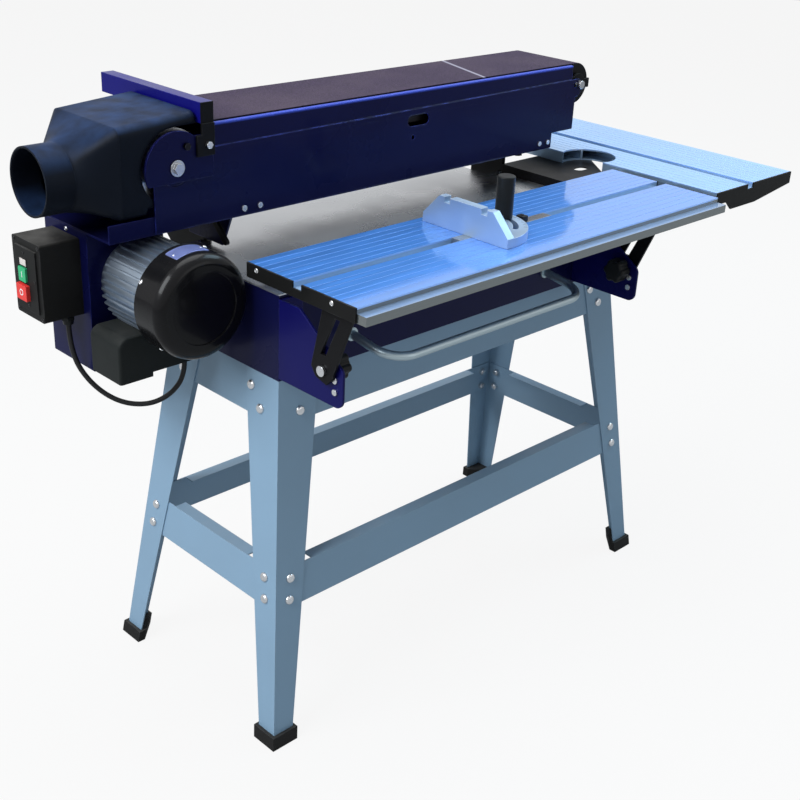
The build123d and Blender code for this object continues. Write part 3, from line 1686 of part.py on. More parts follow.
# Switch box on the bracket's panel, hollow, with a raised face plate and two button holes
box_right = frame_left
face_x = box_left - face_plate
box_mid = (box_front + box_width / 2, box_low + box_height / 2)
with BuildPart() as switch_box:
    with BuildSketch(side(box_left)):
        with Locations(box_mid):
            RectangleRounded(box_width, box_height, box_round)
    extrude(amount=box_right - box_left)
    with BuildSketch(side(face_x)):
        with Locations(box_mid):
            RectangleRounded(face_plate_width, face_plate_height, box_round / 2)
    extrude(amount=face_plate)
    with BuildSketch(side(box_left + box_wall)):
        with Locations(box_mid):
            Rectangle(box_width - 2 * box_wall, box_height - 2 * box_wall)
    extrude(amount=box_right - box_left - 2 * box_wall, mode=Mode.SUBTRACT)
    with BuildSketch(side(face_x)):
        with Locations((button_y, start_z)):
            Rectangle(start_width + 2 * button_play, start_height + 2 * button_play)
        with Locations((button_y, stop_z)):
            Rectangle(stop_button_width + 2 * button_play, stop_button_height + 2 * button_play)
    extrude(amount=face_plate + box_wall, mode=Mode.SUBTRACT)
    with BuildSketch(plan(box_low - cut_over)):
        with Locations((cable_start_x, cable_start_y)):
            Circle(cable_radius + pin_play)
    extrude(amount=2 * box_wall, mode=Mode.SUBTRACT)
save(switch_box, "switch_box")


def push_button(z, width, height, proud):
    """Button that slides in the face, with a flange inside that keeps it in."""
    inside = box_left + box_wall + running_gap
    with BuildPart() as piece:
        with BuildSketch(side(face_x - proud)):
            with Locations((button_y, z)):
                Rectangle(width, height)
        extrude(amount=inside - face_x + proud)
        fillet(piece.edges().filter_by(Axis.X), button_round)
        with BuildSketch(side(inside)):
            with Locations((button_y, z)):
                Rectangle(width + 2 * button_flange, height + button_flange)
        extrude(amount=button_flange)
    return piece


save(push_button(start_z, start_width, start_height, start_proud), "start_button")
save(push_button(stop_z, stop_button_width, stop_button_height, stop_proud), "stop_button")

# Cable glands below the switch box and below the terminal box
terminal_body_low = terminal_low + lid_height
gland_planes = [
    Plane(origin=at(cable_start_x, cable_start_y, box_low), x_dir=(1, 0, 0), z_dir=(0, 0, -1)),
    Plane(origin=at(cable_end_x, cable_end_y, terminal_body_low), x_dir=(1, 0, 0), z_dir=(0, 0, -1)),
]
with BuildPart() as cable_glands:
    for plane in gland_planes:
        with BuildSketch(plane):
            RegularPolygon(gland_nut_radius, 6)
        extrude(amount=gland_nut)
        with BuildSketch(plane.offset(gland_nut)):
            Circle(gland_radius)
        extrude(amount=gland_length - gland_nut, taper=gland_taper)
save(cable_glands, "cable_glands")

# Motor cable: a hanging loop from the switch box to the terminal box
def cable_point(share, z):
    """Point of the hanging loop at a share of the way from its start to its end."""
    x = cable_start_x + share * (cable_end_x - cable_start_x)
    y = cable_start_y + share * (cable_end_y - cable_start_y)
    return at(x, y, z)


cable_route = [
    cable_point(0, box_low - gland_length),
    cable_point(0, cable_start_bend_z),
    cable_point(cable_near_share, cable_near_z),
    cable_point(cable_low_share, cable_low_z),
    cable_point(cable_bottom_share, cable_bottom_z),
    cable_point(cable_far_share, cable_far_z),
    cable_point(1, cable_end_bend_z),
    cable_point(1, terminal_body_low - gland_length),
]


def cable_radii(points):
    """Bend radius at each inner point, as large as the two runs beside it allow."""
    radii = []
    for before, here, after in zip(points, points[1:], points[2:]):
        first = Vector(here) - Vector(before)
        second = Vector(after) - Vector(here)
        turn = radians(first.get_angle(second))
        shorter = min(first.length, second.length)
        radii.append(bend_share * shorter * cos(turn / 2) / sin(turn / 2))
    return radii


bends = cable_radii(cable_route)
with BuildPart() as motor_cable:
    with BuildLine() as cable_path:
        FilletPolyline(*cable_route, radius=bends)
    with BuildSketch(Plane(origin=cable_route[0], x_dir=(1, 0, 0), z_dir=(0, 0, -1))):
        Circle(cable_radius)
    sweep()
save(motor_cable, "motor_cable")
cable_length = sum(edge.length for edge in cable_path.edges())
cable_section = pi * cable_radius**2
print("cable bend radii", [round(bend, 1) for bend in bends], "length", round(cable_length, 1))
print("cable volume", round(motor_cable.part.volume), "expected", round(cable_section * cable_length))

# Tilt lock lever: a stud through the left post's arc slot, turned by a short lever
with BuildPart() as tilt_lock_lever:
    lever_face = post_left_x - lug_reach - running_gap
    stud_end = post_left_x + post_sheet / 2 + lug_gap / 2
    with BuildSketch(side(lever_face)):
        with Locations(lock_stud_at):
            Circle(tilt_stud_radius)
    extrude(amount=stud_end - lever_face)
    with BuildSketch(side(lever_face)):
        with Locations(lock_stud_at):
            Circle(lever_hub)
    extrude(amount=-lever_width)
    with BuildSketch(side(lever_face - lever_width / 4)):
        tip = around(lock_stud_at, lever_reach, lever_angle)
        with Locations(((lock_stud_at[0] + tip[0]) / 2, (lock_stud_at[1] + tip[1]) / 2)):
            SlotCenterToCenter(lever_reach, 2 * lever_tip, rotation=lever_angle)
    extrude(amount=-lever_width / 2)
save(tilt_lock_lever, "tilt_lock_lever")

# Tension lever behind the back plate, which moves the idler fork
with BuildPart() as tension_lever:
    lever_front = back_rear + running_gap
    with BuildSketch(front(back_y)):
        with Locations(tension_axis):
            Circle(axle_radius)
    extrude(amount=back_y - lever_front - running_gap)
    with BuildSketch(front(lever_front + tension_width)):
        with Locations(tension_axis):
            Circle(tension_hub)
    extrude(amount=tension_width)
    with BuildSketch(front(lever_front + tension_width)):
        tip = around(tension_axis, tension_reach, tension_angle)
        with Locations(((tension_axis[0] + tip[0]) / 2, (tension_axis[1] + tip[1]) / 2)):
            SlotCenterToCenter(tension_reach, 2 * tension_grip, rotation=tension_angle)
    extrude(amount=tension_width / 2)
save(tension_lever, "tension_lever")

# Fasteners of the unit: cover bolts, fence bolts, and screws on the hood and fan cover
with BuildPart() as unit_fasteners:
    with BuildSketch(front(cover_y)):
        with Locations(*[(x, cover_bolt_z) for x in cover_bolt_x]):
            Circle(cover_bolt_radius)
    extrude(amount=cover_bolt_head)
    with BuildSketch(front(plate_front)):
        with Locations((plate_bolt_x, plate_bolt_z)):
            RegularPolygon(unit_hex_radius, 6)
    extrude(amount=hex_head)
    with BuildSketch(front(plate_front - lug_plate)):
        with Locations((fence_bolt_x, fence_bolt_z)):
            RegularPolygon(unit_hex_radius, 6)
    extrude(amount=hex_head)
save(unit_fasteners, "unit_fasteners")
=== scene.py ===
import logging
import math
from dataclasses import dataclass, field, replace
from enum import Enum

import bmesh
import bpy
from mathutils import Matrix, Vector


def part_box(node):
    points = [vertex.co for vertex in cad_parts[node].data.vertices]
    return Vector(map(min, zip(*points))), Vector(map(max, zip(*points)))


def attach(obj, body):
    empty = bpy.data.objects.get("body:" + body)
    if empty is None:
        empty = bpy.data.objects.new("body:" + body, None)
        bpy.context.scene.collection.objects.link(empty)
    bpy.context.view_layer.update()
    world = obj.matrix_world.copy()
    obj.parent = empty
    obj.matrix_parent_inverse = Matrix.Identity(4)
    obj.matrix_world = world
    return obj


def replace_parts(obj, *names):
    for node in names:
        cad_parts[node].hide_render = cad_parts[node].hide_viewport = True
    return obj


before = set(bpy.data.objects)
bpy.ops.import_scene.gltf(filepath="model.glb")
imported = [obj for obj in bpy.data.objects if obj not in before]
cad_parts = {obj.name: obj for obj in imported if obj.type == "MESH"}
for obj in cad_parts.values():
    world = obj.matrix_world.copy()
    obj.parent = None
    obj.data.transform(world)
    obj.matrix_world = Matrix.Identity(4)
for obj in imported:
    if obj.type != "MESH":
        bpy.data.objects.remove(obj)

# Looks of a belt sanding machine: enamelled sheet steel, aluminium tables, moulded black
# plastic, a grit belt and bright fasteners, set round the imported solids. Metres, +Z up.

log = logging.getLogger("belt_sander")
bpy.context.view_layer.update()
MM = 0.001
LEFT = Vector((-1.0, 0.0, 0.0))
RIGHT = Vector((1.0, 0.0, 0.0))
BACK = Vector((0.0, 1.0, 0.0))
UP = Vector((0.0, 0.0, 1.0))

Colour = tuple[float, float, float]
Point = tuple[float, float, float]


class Body(Enum):
    """Moving bodies of the machine that the scene's own pieces ride on."""

    TABLE = "tilting_table"
    MITRE = "mitre_protractor"
    MITRE_BAR = "mitre_slider"
    UNIT = "belt_unit"
    START = "start"
    STOP = "stop"


class Slot(Enum):
    """Material slots of the record."""

    STAND_GREY = "stand_grey"
    MACHINE_BLUE = "machine_blue"
    TRAY_PALE = "tray_pale"
    BLACK_STEEL = "black_steel"
    BLACK_PLASTIC = "black_plastic"
    TABLE_ALUMINIUM = "table_aluminium"
    CAST_ALUMINIUM = "cast_aluminium"
    ZINC = "zinc"
    STEEL = "steel"
    RUBBER = "rubber"
    ABRASIVE = "abrasive"
    GREEN = "green_plastic"
    RED = "red_plastic"


class Axis(Enum):
    """Direction that a drawn or brushed surface was worked along."""

    X = (1.0, 40.0, 40.0)
    Y = (40.0, 1.0, 40.0)
    Z = (40.0, 40.0, 1.0)


class Effect(Enum):
    """Shader node groups that several finishes share, named as their methods in Effects."""

    # Edge mask: real wear on most finishes, a painted highlight on the blue sheet's edges.
    EDGE_WEAR = "edge_wear"
    PAINT_SKIN = "paint_skin"
    MOULD_GRAIN = "mould_grain"
    DRAWN_LINES = "drawn_lines"
    DUST_FILM = "dust_film"


class Graph:
    """A shader node tree while it is being wired."""

    def __init__(self, tree: bpy.types.NodeTree) -> None:
        """Take over a node tree."""
        self.tree = tree

    def add(self, kind: str, **settings: object) -> bpy.types.Node:
        """Add one node.

        Args:
            kind: Blender's name of the node type, without the leading ShaderNode.
            settings: properties to set on the new node.

        Returns:
            The new node.
        """
        node = self.tree.nodes.new("ShaderNode" + kind)
        for name, value in settings.items():
            setattr(node, name, value)
        return node

    def feed(self, socket: bpy.types.NodeSocket, value: object) -> None:
        """Link a socket to another one, or set it to a plain value.

        Args:
            socket: the input to fill.
            value: an output socket, a number, or a colour or vector.
        """
        if isinstance(value, bpy.types.NodeSocket):
            self.tree.links.new(value, socket)
        elif isinstance(value, tuple) and socket.type == "RGBA" and len(value) == 3:
            socket.default_value = (*value, 1.0)
        else:
            socket.default_value = value

    def math(self, operation: str, *values: object, clamp: bool = False) -> bpy.types.NodeSocket:
        """Add a math node.

        Args:
            operation: its operation, such as MULTIPLY.
            values: its inputs, sockets or numbers.
            clamp: whether the result is held between 0 and 1.

        Returns:
            The result's socket.
        """
        node = self.add("Math", operation=operation, use_clamp=clamp)
        for socket, value in zip(node.inputs, values):
            self.feed(socket, value)
        return node.outputs[0]

    def mix(self, factor: object, first: object, second: object) -> bpy.types.NodeSocket:
        """Mix two colours.

        Args:
            factor: share of the second colour.
            first: colour at factor 0.
            second: colour at factor 1.

        Returns:
            The mixed colour's socket.
        """
        node = self.add("Mix", data_type="RGBA")
        self.feed(node.inputs[0], factor)
        self.feed(node.inputs[6], first)
        self.feed(node.inputs[7], second)
        return node.outputs[2]

    def spread(
        self, value: object, low: float, high: float, to_low: float = 0.0, to_high: float = 1.0
    ) -> bpy.types.NodeSocket:
        """Map one range of values onto another, held at its ends.

        Args:
            value: the socket to map.
            low: value that becomes to_low.
            high: value that becomes to_high.
            to_low: result at low.
            to_high: result at high.

        Returns:
            The mapped value's socket.
        """
        node = self.add("MapRange", clamp=True)
        for socket, given in zip(node.inputs, (value, low, high, to_low, to_high)):
            self.feed(socket, given)
        return node.outputs[0]

    def place(self) -> bpy.types.NodeSocket:
        """Position on the piece itself, which moves with it."""
        return self.add("TexCoord").outputs["Object"]

    def split(self, vector: bpy.types.NodeSocket) -> list[bpy.types.NodeSocket]:
        """Split a vector into the sockets of its x, y and z.

        Args:
            vector: the vector's socket.

        Returns:
            The three sockets.
        """
        node = self.add("SeparateXYZ")
        self.feed(node.inputs[0], vector)
        return list(node.outputs)

    def noise(self, scale: object, detail: float = 2.0, vector: object = None) -> bpy.types.NodeSocket:
        """Add a noise texture.

        Args:
            scale: how many of its bumps lie in a metre.
            detail: how many finer layers it has.
            vector: where it is read, or the place on the piece.

        Returns:
            The noise value's socket.
        """
        node = self.add("TexNoise")
        self.feed(node.inputs["Vector"], vector if vector is not None else self.place())
        self.feed(node.inputs["Scale"], scale)
        self.feed(node.inputs["Detail"], detail)
        return node.outputs["Fac"]

    def blend(
        self, factor: object, first: bpy.types.Node, second: bpy.types.Node, output: bpy.types.Node
    ) -> None:
        """Mix two shaders into an output's surface.

        Args:
            factor: share of the second shader.
            first: shader at factor 0.
            second: shader at factor 1.
            output: the tree's output node.
        """
        mixed = self.add("MixShader")
        for socket, value in zip(mixed.inputs, (factor, first.outputs[0], second.outputs[0])):
            self.feed(socket, value)
        self.feed(output.inputs["Surface"], mixed.outputs[0])


class Effects:
    """The shared groups, each built once."""

    def __init__(self) -> None:
        """Start with no group built."""
        self.made: dict[Effect, bpy.types.NodeTree] = {}

    def use(self, graph: Graph, effect: Effect, **values: object) -> bpy.types.Node:
        """Place a shared group in a material, building it the first time it is asked for.

        Args:
            graph: the material's graph.
            effect: which group.
            values: its inputs, by socket name with spaces as underscores.

        Returns:
            The group node.
        """
        if effect not in self.made:
            self.made[effect] = getattr(self, effect.value)()
        node = graph.add("Group", node_tree=self.made[effect])
        for key, value in values.items():
            graph.feed(node.inputs[key.replace("_", " ").capitalize()], value)
        return node

    def start(
        self, effect: Effect, inputs: dict[str, float], outputs: tuple[str, ...]
    ) -> tuple[Graph, bpy.types.Node, bpy.types.Node]:
        """Open a new group with float sockets.

        Args:
            effect: which group.
            inputs: socket names and their default values.
            outputs: socket names.

        Returns:
            The group's graph, its input node and its output node.
        """
        tree = bpy.data.node_groups.new(effect.value, "ShaderNodeTree")
        for key, value in inputs.items():
            socket = tree.interface.new_socket(key, in_out="INPUT", socket_type="NodeSocketFloat")
            socket.default_value = value
        for key in outputs:
            tree.interface.new_socket(key, in_out="OUTPUT", socket_type="NodeSocketFloat")
        return Graph(tree), tree.nodes.new("NodeGroupInput"), tree.nodes.new("NodeGroupOutput")

    def edge_wear(self) -> bpy.types.NodeTree:
        """Mask of stretches along a piece's edges: rubbed wear, and on the blue sheet a painted highlight.

        Returns:
            The group's tree.
        """
        inputs = {"Radius": 1.5 * MM, "Amount": 0.6, "Patches": 40.0}
        graph, given, result = self.start(Effect.EDGE_WEAR, inputs, ("Mask",))
        rounded = graph.add("Bevel", samples=4)
        graph.feed(rounded.inputs["Radius"], given.outputs["Radius"])
        facing = graph.add("VectorMath", operation="DOT_PRODUCT")
        graph.feed(facing.inputs[0], rounded.outputs["Normal"])
        graph.feed(facing.inputs[1], graph.add("NewGeometry").outputs["Normal"])
        edge = graph.spread(facing.outputs["Value"], 0.98, 0.82)
        patchy = graph.spread(graph.noise(given.outputs["Patches"], 4.0), 0.42, 0.66)
        rubbed = graph.math("MULTIPLY", edge, patchy)
        mask = graph.math("MULTIPLY", rubbed, given.outputs["Amount"], clamp=True)
        graph.feed(result.inputs["Mask"], mask)
        return graph.tree

    def paint_skin(self) -> bpy.types.NodeTree:
        """Slight waves of a sprayed coat, and how its gloss varies.

        Returns:
            The group's tree.
        """
        graph, given, result = self.start(Effect.PAINT_SKIN, {"Scale": 260.0}, ("Height", "Gloss"))
        graph.feed(result.inputs["Height"], graph.noise(given.outputs["Scale"], 3.0))
        graph.feed(result.inputs["Gloss"], graph.noise(9.0, 4.0))
        return graph.tree

    def mould_grain(self) -> bpy.types.NodeTree:
        """Fine spark-eroded grain of a moulded plastic, with its broad blotches.

        Returns:
            The group's tree.
        """
        graph, given, result = self.start(Effect.MOULD_GRAIN, {"Scale": 900.0}, ("Height", "Tone"))
        cells = graph.add("TexVoronoi", feature="SMOOTH_F1")
        graph.feed(cells.inputs["Vector"], graph.place())
        graph.feed(cells.inputs["Scale"], given.outputs["Scale"])
        fine = graph.noise(given.outputs["Scale"], 2.0)
        graph.feed(result.inputs["Height"], graph.math("ADD", cells.outputs["Distance"], fine))
        graph.feed(result.inputs["Tone"], graph.noise(14.0, 4.0))
        return graph.tree

    def drawn_lines(self) -> bpy.types.NodeTree:
        """Fine lines along the way a metal was drawn, ground or brushed.

        Returns:
            The group's tree.
        """
        across = {"Across x": 1.0, "Across y": 40.0, "Across z": 40.0}
        graph, given, result = self.start(Effect.DRAWN_LINES, {**across, "Scale": 30.0}, ("Height", "Tone"))
        ways = graph.add("CombineXYZ")
        for index, key in enumerate(across):
            graph.feed(ways.inputs[index], given.outputs[key])
        stretched = graph.add("VectorMath", operation="MULTIPLY")
        graph.feed(stretched.inputs[0], graph.place())
        graph.feed(stretched.inputs[1], ways.outputs[0])
        lines = graph.noise(given.outputs["Scale"], 4.0, stretched.outputs[0])
        graph.feed(result.inputs["Height"], lines)
        graph.feed(result.inputs["Tone"], graph.math("ADD", graph.math("MULTIPLY", lines, 0.5), 0.25))
        return graph.tree

    def dust_film(self) -> bpy.types.NodeTree:
        """Mask of what faces up, in patches: a thin film of dust, and on the hood a painted sky sheen.

        Returns:
            The group's tree.
        """
        graph, given, result = self.start(Effect.DUST_FILM, {"Amount": 0.3, "Scale": 30.0}, ("Mask",))
        normal = graph.split(graph.add("NewGeometry").outputs["Normal"])
        upward = graph.spread(normal[2], 0.35, 0.95)
        patches = graph.spread(graph.noise(given.outputs["Scale"], 5.0), 0.35, 0.75, 0.25, 1.0)
        film = graph.math("MULTIPLY", upward, patches)
        mask = graph.math("MULTIPLY", film, given.outputs["Amount"], clamp=True)
        graph.feed(result.inputs["Mask"], mask)
        return graph.tree


effects = Effects()


def shade(colour: Colour, factor: float, lift: float = 0.0) -> Colour:
    """Make a colour lighter or darker, held at 1."""
    return tuple(min(1.0, channel * factor + lift) for channel in colour)


@dataclass(frozen=True)
class Finish:
    """One surface finish: its colour, its gloss and the record's slot it stands for."""

    name: str
    slot: Slot
    colour: Colour
    roughness: float
    specular: float = 0.5
    edge_radius: float = 0.9 * MM

    def material(self) -> bpy.types.Material:
        """Give this finish's material, wiring it the first time.

        Returns:
            The material.
        """
        found = bpy.data.materials.get("sander_" + self.name)
        if found:
            return found
        made = bpy.data.materials.new("sander_" + self.name)
        made.use_nodes = True
        graph = Graph(made.node_tree)
        shader = made.node_tree.nodes["Principled BSDF"]
        graph.feed(shader.inputs["Base Color"], self.colour)
        graph.feed(shader.inputs["Roughness"], self.roughness)
        graph.feed(shader.inputs["Specular IOR Level"], self.specular)
        self.wire(graph, shader)
        return made

    def wire(self, graph: Graph, shader: bpy.types.Node) -> None:
        """Add what this kind of finish shows. Each kind has its own."""

    def masked(
        self, graph: Graph, tone: object, over: Colour, effect: Effect, **values: float
    ) -> bpy.types.NodeSocket:
        """Lay a colour over a tone where a shared effect's mask shows.

        Args:
            graph: the material's graph.
            tone: the colour below.
            over: the colour on top.
            effect: the shared effect.
            values: its inputs.

        Returns:
            The mixed colour's socket.
        """
        return graph.mix(effects.use(graph, effect, **values).outputs["Mask"], tone, over)

    def vary_gloss(
        self, graph: Graph, shader: bpy.types.Node, value: object, less: float, more: float
    ) -> None:
        """Let the roughness follow a value that changes over the surface.

        Args:
            graph: the material's graph.
            shader: its shader.
            value: the value's socket.
            less: how far the roughness falls.
            more: how far it rises.
        """
        low = max(0.05, self.roughness - less)
        graph.feed(shader.inputs["Roughness"], graph.spread(value, 0.3, 0.7, low, self.roughness + more))

    def bump(
        self, graph: Graph, shader: bpy.types.Node, height: object, strength: float, depth: float
    ) -> None:
        """Give the shader a bumped normal on softly rounded edges.

        Args:
            graph: the material's graph.
            shader: its shader.
            height: the height's socket.
            strength: share of the bump that shows.
            depth: real height of the bump in metres.
        """
        rounded = graph.add("Bevel", samples=4)
        graph.feed(rounded.inputs["Radius"], self.edge_radius)
        node = graph.add("Bump")
        graph.feed(node.inputs["Strength"], strength)
        graph.feed(node.inputs["Distance"], depth)
        graph.feed(node.inputs["Height"], height)
        graph.feed(node.inputs["Normal"], rounded.outputs["Normal"])
        graph.feed(shader.inputs["Normal"], node.outputs["Normal"])


@dataclass(frozen=True)
class Enamel(Finish):
    """Sprayed or powder paint on sheet steel."""

    coat: float = 0.4
    coat_roughness: float = 0.08
    peel_scale: float = 260.0
    peel_depth: float = 0.05 * MM
    # Edge colour: grey worn metal by default, but bright blue on the blue sheet, where it is a painted
    # highlight.
    worn_and_highlight: Colour = (0.45, 0.46, 0.48)
    wear: float = 0.35
    dust: float = 0.12
    dust_and_sky_sheen_tone: Colour = (0.55, 0.52, 0.47)
    spread: float = 0.12
    flake: float = 0.0

    def wire(self, graph: Graph, shader: bpy.types.Node) -> None:
        """Wire peel, gloss change, worn edges and a little dust; on the blue sheet the edge colour is a
        painted highlight instead of wear.

        Args:
            graph: the material's graph.
            shader: its shader.
        """
        skin = effects.use(graph, Effect.PAINT_SKIN, scale=self.peel_scale)
        lower = shade(self.colour, 1.0 - self.spread)
        upper = shade(self.colour, 1.0 + self.spread)
        tone = graph.mix(skin.outputs["Gloss"], lower, upper)
        tone = self.masked(graph, tone, self.worn_and_highlight, Effect.EDGE_WEAR, amount=self.wear)
        tone = self.masked(graph, tone, self.dust_and_sky_sheen_tone, Effect.DUST_FILM, amount=self.dust)
        graph.feed(shader.inputs["Base Color"], tone)
        self.vary_gloss(graph, shader, skin.outputs["Gloss"], 0.06, 0.08)
        graph.feed(shader.inputs["Metallic"], self.flake)
        graph.feed(shader.inputs["Coat Weight"], self.coat)
        graph.feed(shader.inputs["Coat Roughness"], self.coat_roughness)
        self.bump(graph, shader, skin.outputs["Height"], 0.35, self.peel_depth)


@dataclass(frozen=True)
class FoldedEnamel(Enamel):
    """Paint on folded sheet, with a painted highlight along the bend at its top."""

    bend_top: float = 0.0
    bend_width: float = 4.5 * MM
    bend_bright: float = 0.4
    bend_highlight: Colour = (0.05, 0.085, 0.5)

    def wire(self, graph: Graph, shader: bpy.types.Node) -> None:
        """Wire the paint, and paint a highlight along the bend.

        Args:
            graph: the material's graph.
            shader: its shader.
        """
        super().wire(graph, shader)
        tone = shader.inputs["Base Color"].links[0].from_socket
        # Brighter towards the top edge: a painted highlight where the bend would catch the light.
        height = graph.split(graph.place())[2]
        start = self.bend_top - self.bend_width
        highlight_band = graph.spread(height, start, self.bend_top - self.bend_bright * self.bend_width)
        graph.feed(shader.inputs["Base Color"], graph.mix(highlight_band, tone, self.bend_highlight))


@dataclass(frozen=True)
class Moulding(Finish):
    """Moulded plastic with a fine grain."""

    grain_scale: float = 900.0
    grain_depth: float = 0.06 * MM
    grain_strength: float = 0.5
    scuff: Colour = (0.12, 0.12, 0.13)
    scuffed: float = 0.5
    dust: float = 0.1
    dust_and_sky_sheen_tone: Colour = (0.45, 0.43, 0.4)

    def wire(self, graph: Graph, shader: bpy.types.Node) -> None:
        """Wire grain, blotches, scuffed edges and dust, which on the hood is a painted blue sky sheen on
        its top.

        Args:
            graph: the material's graph.
            shader: its shader.
        """
        grain = effects.use(graph, Effect.MOULD_GRAIN, scale=self.grain_scale)
        tone = graph.mix(grain.outputs["Tone"], self.colour, shade(self.colour, 1.35, 0.004))
        tone = self.masked(graph, tone, self.scuff, Effect.EDGE_WEAR, amount=self.scuffed)
        tone = self.masked(graph, tone, self.dust_and_sky_sheen_tone, Effect.DUST_FILM, amount=self.dust)
        graph.feed(shader.inputs["Base Color"], tone)
        self.vary_gloss(graph, shader, grain.outputs["Tone"], 0.05, 0.1)
        self.bump(graph, shader, grain.outputs["Height"], self.grain_strength, self.grain_depth)


@dataclass(frozen=True)
class Metal(Finish):
    """Bare, plated or tinted metal with the lines of its working."""

    axis: Axis = Axis.X
    line_scale: float = 30.0
    line_depth: float = 0.02 * MM
    line_strength: float = 0.3
    tarnish: float = 0.1
    tarnish_tone: Colour = (0.3, 0.3, 0.31)
    film: float = 0.0
    film_ior: float = 1.5
    film_roughness: float = 0.08

    def wire(self, graph: Graph, shader: bpy.types.Node) -> None:
        """Wire the worked lines and a slight tarnish.

        Args:
            graph: the material's graph.
            shader: its shader.
        """
        ways = dict(zip(("across_x", "across_y", "across_z"), self.axis.value))
        lines = effects.use(graph, Effect.DRAWN_LINES, scale=self.line_scale, **ways)
        skin = effects.use(graph, Effect.PAINT_SKIN)
        tone = graph.mix(lines.outputs["Tone"], shade(self.colour, 1.0 - 2.0 * self.tarnish), self.colour)
        dulled = graph.math("MULTIPLY", skin.outputs["Gloss"], self.tarnish)
        tone = graph.mix(dulled, tone, self.tarnish_tone)
        graph.feed(shader.inputs["Base Color"], self.tint(graph, tone))
        graph.feed(shader.inputs["Metallic"], 1.0)
        self.vary_gloss(graph, shader, lines.outputs["Height"], 0.06, 0.08)
        graph.feed(shader.inputs["Coat Weight"], self.film)
        graph.feed(shader.inputs["Coat IOR"], self.film_ior)
        graph.feed(shader.inputs["Coat Roughness"], self.film_roughness)
        self.bump(graph, shader, lines.outputs["Height"], self.line_strength, self.line_depth)

    def tint(self, graph: Graph, tone: bpy.types.NodeSocket) -> bpy.types.NodeSocket:
        """Change the metal's colour over the piece. A plain metal keeps it."""
        return tone


@dataclass(frozen=True)
class DeckMetal(Metal):
    """Aluminium deck with a painted sky reflection on its upper face, pale grooves, and painted shade and
    reflection on its edges and slots.
    """

    top: float = 0.78
    plain_until: float = -9.0
    groove_depth: float = 2.0 * MM
    # Painted shade on the sides and front ledge walls, a painted pale-blue reflection on the slot walls,
    # and a pale groove colour that also paints a highlight along every top edge.
    side_shade: Colour = (0.10, 0.12, 0.125)
    slot_reflection: Colour = (0.30, 0.44, 0.62)
    groove_and_edge_highlight: Colour = (0.34, 0.55, 0.93)
    ledge_share: float = 0.45
    ledge_drop: float = 8.8 * MM

    def tint(self, graph: Graph, tone: bpy.types.NodeSocket) -> bpy.types.NodeSocket:
        """Keep the painted sky reflection on the face that looks up, and paint shade and reflection below
        that face.

        Args:
            graph: the material's graph.
            tone: the metal's colour, which carries the painted sky reflection.

        Returns:
            The mixed colour's socket.
        """
        coordinates = graph.add("TexCoord")
        upward = graph.spread(graph.split(coordinates.outputs["Normal"])[2], 0.6, 0.9)
        _, y, z = graph.split(coordinates.outputs["Object"])
        depth = graph.math("SUBTRACT", self.top, z)
        grooved = graph.spread(depth, 0.1 * MM, 0.3 * MM)
        sunk = graph.spread(depth, self.groove_depth, self.groove_depth + 1.0 * MM)
        deep = graph.spread(depth, self.ledge_drop, self.ledge_drop + 0.4 * MM)
        inner = graph.math("GREATER_THAN", y, self.plain_until)
        wall = graph.mix(inner, self.side_shade, self.slot_reflection)
        ledge = graph.mix(self.ledge_share, self.side_shade, self.groove_and_edge_highlight)
        flat = graph.mix(grooved, tone, self.groove_and_edge_highlight)
        flat = graph.mix(sunk, flat, graph.mix(deep, ledge, wall))
        return graph.mix(upward, graph.mix(sunk, self.groove_and_edge_highlight, wall), flat)


@dataclass(frozen=True)
class PartBlacked(Metal):
    """Plated fasteners, of which those at the left end are blacked."""

    blacked_until: float = 0.0
    black: Colour = (0.02, 0.02, 0.024)

    def tint(self, graph: Graph, tone: bpy.types.NodeSocket) -> bpy.types.NodeSocket:
        """Black what lies left of the limit.

        Args:
            graph: the material's graph.
            tone: the plating's colour.

        Returns:
            The mixed colour's socket.
        """
        x = graph.split(graph.place())[0]
        plated = graph.math("GREATER_THAN", x, self.blacked_until)
        return graph.mix(plated, self.black, tone)


@dataclass(frozen=True)
class Casting(Finish):
    """Light sand or die cast metal, tumbled smooth."""

    grain_scale: float = 420.0
    grain_depth: float = 0.08 * MM
    rubbed: Colour = (0.85, 0.88, 0.92)
    rub: float = 0.8
    rub_radius: float = 2.0 * MM
    metallic: float = 0.85

    def wire(self, graph: Graph, shader: bpy.types.Node) -> None:
        """Wire the cast skin and its rubbed edges.

        Args:
            graph: the material's graph.
            shader: its shader.
        """
        grain = effects.use(graph, Effect.MOULD_GRAIN, scale=self.grain_scale)
        tone = graph.mix(grain.outputs["Tone"], shade(self.colour, 0.8), self.colour)
        tone = self.masked(
            graph, tone, self.rubbed, Effect.EDGE_WEAR, amount=self.rub, radius=self.rub_radius
        )
        graph.feed(shader.inputs["Base Color"], tone)
        graph.feed(shader.inputs["Metallic"], self.metallic)
        self.vary_gloss(graph, shader, grain.outputs["Tone"], 0.06, 0.1)
        self.bump(graph, shader, grain.outputs["Height"], 0.4, self.grain_depth)


